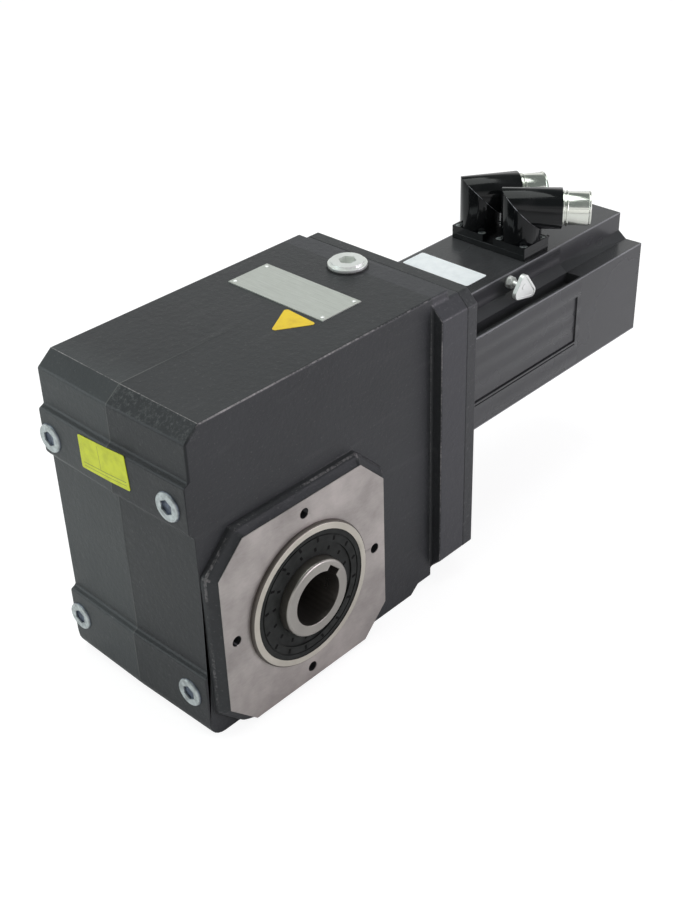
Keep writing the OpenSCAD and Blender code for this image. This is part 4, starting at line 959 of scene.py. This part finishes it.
def shape_front(bm, outline):
    """Pattern draft on the front, and the thin bead where the two moulds met."""
    for offset in (-BEAD_HALF, 0, BEAD_HALF):
        bmesh.ops.bisect_plane(bm, geom=bm.verts[:] + bm.edges[:] + bm.faces[:],
                               plane_co=(0, offset, 0), plane_no=(0, 1, 0))
    bm.normal_update()
    for vert in bm.verts:
        co = vert.co
        on_skin = any(near_segment(Vector((co.x, co.z)), *segment) for segment in outline)
        if on_skin and abs(co.y) < 0.01 * MM and co.x < BEAD_END and co.z > BEAD_LOW:
            fade = min(1, (BEAD_END - co.x) / (40 * MM))
            out = Vector((vert.normal.x, 0, vert.normal.z)).normalized()
            co += out * BEAD_HIGH * fade
        lean = min(1, max(0, (LEAN_FROM - co.x) / (6 * MM)))
        co.x -= DRAFT * (SIDE_Y - min(SIDE_Y, abs(co.y))) * lean
        co.z = max(co.z, FOOT_Z)


def make_housing():
    """Cast gear housing with foundry roundings, draft and parting bead."""
    bm = bench_copy("gear_housing")
    round_foot(bm)
    bm.normal_update()
    radii, outline = casting_radii(bm)
    bm = rounded(bm, radii)
    bm.normal_update()
    shape_front(bm, outline)
    piece = finish_piece(bm, "cast_gear_housing", "housing", CAST)
    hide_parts("gear_housing")


def soften(node, width, segments=2, angle=30):
    """Breaks the sharp edges of a carried-over node."""
    obj = nodes[node]
    weld = obj.modifiers.new("join_seams", "WELD")
    weld.merge_threshold = 2e-6
    bevel = obj.modifiers.new("broken_edges", "BEVEL")
    bevel.limit_method = "ANGLE"
    bevel.angle_limit = math.radians(angle)
    bevel.width = width
    bevel.segments = segments
    bevel.harden_normals = True


# ---------------------------------------------------------------- labels and small marks

def front_x(y):
    """Face of the upper front band at a place across the housing."""
    return BAND_X - DRAFT * (SIDE_Y - abs(y))


def outline_with_round_corners(corners, radius, steps=5):
    """Outline of a flat sheet as a list of 2D points, from its corners in millimetres."""
    points = []
    corners = [(a * MM, b * MM) for a, b in corners]
    count = len(corners)
    for i, corner in enumerate(corners):
        corner = Vector(corner)
        before = (Vector(corners[i - 1]) - corner).normalized()
        after = (Vector(corners[(i + 1) % count]) - corner).normalized()
        half = math.acos(max(-1, min(1, before.dot(after)))) / 2
        reach = radius / math.tan(half)
        centre = corner + (before + after).normalized() * radius / math.sin(half)
        start = corner + before * reach - centre
        end = corner + after * reach - centre
        for step in range(steps + 1):
            turn = start.lerp(end, step / steps).normalized() * radius
            points.append(centre + turn)
    return points


def raise_sheet(bm, out):
    """Gives the flat faces in a bmesh a thickness: each turned to face out, then raised."""
    for face in bm.faces:
        face.normal_update()
        if face.normal.dot(out) < 0:
            face.normal_flip()
    raised = bmesh.ops.extrude_face_region(bm, geom=bm.faces[:])["geom"]
    for item in raised:
        if isinstance(item, bmesh.types.BMVert):
            item.co += out
    bmesh.ops.recalc_face_normals(bm, faces=bm.faces)


def flat_sheet(name, points, level, thick, mat):
    """Label of the given outline, lying level at a height on the housing or motor."""
    bm = bmesh.new()
    bm.faces.new([bm.verts.new((p.x, p.y, level)) for p in points])
    raise_sheet(bm, Vector((0, 0, thick)))
    finish_piece(bm, name, "housing", mat)


def make_labels():
    """Blank foils on the housing and on the motor's roof."""
    points = outline_with_round_corners(YELLOW_CORNERS, 1.2 * MM)
    folded = []
    for i, point in enumerate(points):
        before = points[i - 1]
        if before.x * point.x < 0:
            folded.append(before.lerp(point, before.x / (before.x - point.x)))
        folded.append(point)
    bm = bmesh.new()
    verts = [bm.verts.new((front_x(p.x), p.x, p.y)) for p in folded]
    face = bm.faces.new(verts)
    bmesh.ops.bisect_plane(bm, geom=[face] + bm.edges[:] + bm.verts[:],
                           plane_co=(0, 0, 0), plane_no=(0, 1, 0))
    for vert in bm.verts:
        vert.co.x = front_x(vert.co.y) - 0.1 * MM
    raise_sheet(bm, Vector((-0.3 * MM, 0, 0)))
    finish_piece(bm, "front_yellow_label", "housing", YELLOW)

    flat_sheet("top_amber_patch", outline_with_round_corners(AMBER_CORNERS, 1.8 * MM),
               TOP_Z - LABEL_SUNK, 0.25 * MM, AMBER)
    flat_sheet("motor_white_label", outline_with_round_corners(WHITE_CORNERS, 1.5 * MM),
               ROOF_Z - LABEL_SUNK, 0.2 * MM, WHITE)


def skin_loops(bm, loops):
    """Closes loops of equal length, one after the other, into a ring."""
    for step, here in enumerate(loops):
        there = loops[(step + 1) % len(loops)]
        for i in range(len(here)):
            j = (i + 1) % len(here)
            bm.faces.new((here[i], here[j], there[j], there[i]))
    bmesh.ops.recalc_face_normals(bm, faces=bm.faces)


def ring_of(name, centre, axis, profile, body, mat, steps=48):
    """Turned piece: a closed profile of (along, radius), in millimetres, round an axis."""
    axis = Vector(axis).normalized()
    side = axis.orthogonal().normalized()
    other = axis.cross(side)
    bm = bmesh.new()
    loops = []
    for step in range(steps):
        turn = 2 * math.pi * step / steps
        out = side * math.cos(turn) + other * math.sin(turn)
        loops.append([bm.verts.new(Vector(centre) + axis * (a * MM) + out * (r * MM))
                      for a, r in profile])
    skin_loops(bm, loops)
    finish_piece(bm, name, body, mat)


def make_small_marks():
    """Dark dashes of painted shade in the seal's slits, drive pins of the nameplate and a dark
    disc of painted shade for a hole in the roof.
    """
    for side, label in ((-1, "front"), (1, "back")):
        face_y = (low if side < 0 else high)("output_shaft_seals").y
        bm = bmesh.new()
        for count, radius, length in SEAL_MARKS:
            for i in range(count):
                turn = 2 * math.pi * (i + 0.5) / count
                slant = turn + 0.3
                spot = Vector((math.cos(turn), 0, math.sin(turn))) * radius * MM
                depth = SEAL_FACE if radius > SEAL_STEP_R else SEAL_LIP
                spot.y = face_y - side * depth
                block = bmesh.ops.create_cube(bm, size=1)["verts"]
                size = Matrix.Diagonal((length * MM, 0.2 * MM, 1.6 * MM, 1))
                turned = Matrix.Rotation(-slant, 4, "Y")
                bmesh.ops.transform(bm, verts=block,
                                    matrix=Matrix.Translation(spot) @ turned @ size)
        # painted shade: thin dark blocks stand for the dark of the seal's slits
        finish_piece(bm, f"{label}_seal_slit_shades", "housing", PIT_SHADE)

    plate_low, plate_high = low("nameplate"), high("nameplate")
    for i, x in enumerate((plate_low.x + PIN_INSET, plate_high.x - PIN_INSET)):
        for j, y in enumerate((plate_low.y + PIN_INSET, plate_high.y - PIN_INSET)):
            ring_of(f"nameplate_pin_{2 * i + j + 1}", (x, y, plate_high.z), (0, 0, 1),
                    PIN_DOME, "housing", ZINC, 20)
    # painted shade: a dark disc stands for the hole in the roof
    ring_of("roof_hole_shade", ROOF_HOLE, (0, 0, 1), ROOF_HOLE_RIM, "housing", PIT_SHADE, 24)


def mitre_seam(centre, axis, steps=56, sides=6):
    """Fine bead where the two halves of an elbow meet at 45 degrees."""
    across = Vector((-axis.y, axis.x, 0))
    bm = bmesh.new()
    loops = []
    for step in range(steps):
        turn = 2 * math.pi * step / steps
        out = axis * math.cos(turn) + across * math.sin(turn)
        reach = ELBOW_R - SEAM_R * abs(math.cos(turn))
        spot = centre + out * reach - Vector((0, 0, reach * math.cos(turn)))
        away = (out - Vector((0, 0, math.cos(turn)))).normalized()
        along = (across * math.cos(turn) - (axis - Vector((0, 0, 1))) * math.sin(turn))
        other = away.cross(along.normalized())
        loops.append([bm.verts.new(spot + SEAM_R * (away * math.cos(a) + other * math.sin(a)))
                      for a in (2 * math.pi * side / sides for side in range(sides))])
    skin_loops(bm, loops)
    return bm


def make_plug_rings():
    """Rolled beads round each plug shell, next to its black elbow."""
    for name, body, side, degrees in (("power", "power_connector", -1, POWER_DIR),
                                      ("signal", "signal_connector", 1, SIGNAL_DIR)):
        turn = math.radians(degrees)
        axis = Vector((math.cos(turn), math.sin(turn), 0))
        start = Vector((PLUG_X, side * PLUG_HALF_PITCH, PLUG_AXIS_Z))
        for i, (place, radius) in enumerate(SHELL_BEADS):
            bead = [(-0.8, BEAD_ROOT), (-0.8, radius - 0.4), (-0.4, radius), (0.4, radius),
                    (0.8, radius - 0.4), (0.8, BEAD_ROOT)]
            ring_of(f"{name}_shell_bead_{i + 1}", start + axis * place * MM, axis,
                    bead, body, NICKEL)
        seam = mitre_seam(start, axis)
        finish_piece(seam, f"{name}_mitre_seam", body, SEAM)


def finish_of(node):
    """Material of a carried-over node."""
    if node in ("motor_front_shield", "motor_frame", "motor_rear_shield", "motor_rear_cover"):
        return MOTOR
    if node in ("side_cover", "motor_adapter_plate"):
        return PLATE
    if node == "gear_housing":
        return CAST
    if node in ("connector_base", "connector_flanges", "power_elbow", "signal_elbow"):
        return PLUG
    if node in ("power_plug_shell", "signal_plug_shell"):
        return NICKEL
    if node in ("oil_plug", "earth_screw", "earth_lug"):
        return ZINC
    if node == "front_pad_screws":
        return FRONT_SCREW
    if "screws" in node:
        return SCREW
    if node == "nameplate":
        return NAMEPLATE
    if node in ("output_shaft_seals", "pinion_shaft_seal"):
        return SEAL
    if node in ("side_cover_gasket", "oil_plug_seal", "power_plug_insert",
                "signal_plug_insert"):
        return RUBBER
    if node == "hollow_shaft":
        return SHAFT
    if node == "stator_windings":
        return COPPER
    if node in ("stator_core", "rotor_core", "resolver_rotor"):
        return SHEETS
    return STEEL


def dress_nodes():
    """Gives every carried-over node its finish, and breaks the sharp edges that show."""
    for name, obj in nodes.items():
        obj.data.materials.clear()
        obj.data.materials.append(finish_of(name))
    for node, width in BROKEN_EDGES.items():
        soften(node, width * MM)


dress_nodes()
make_housing()
make_labels()
make_small_marks()
make_plug_rings()
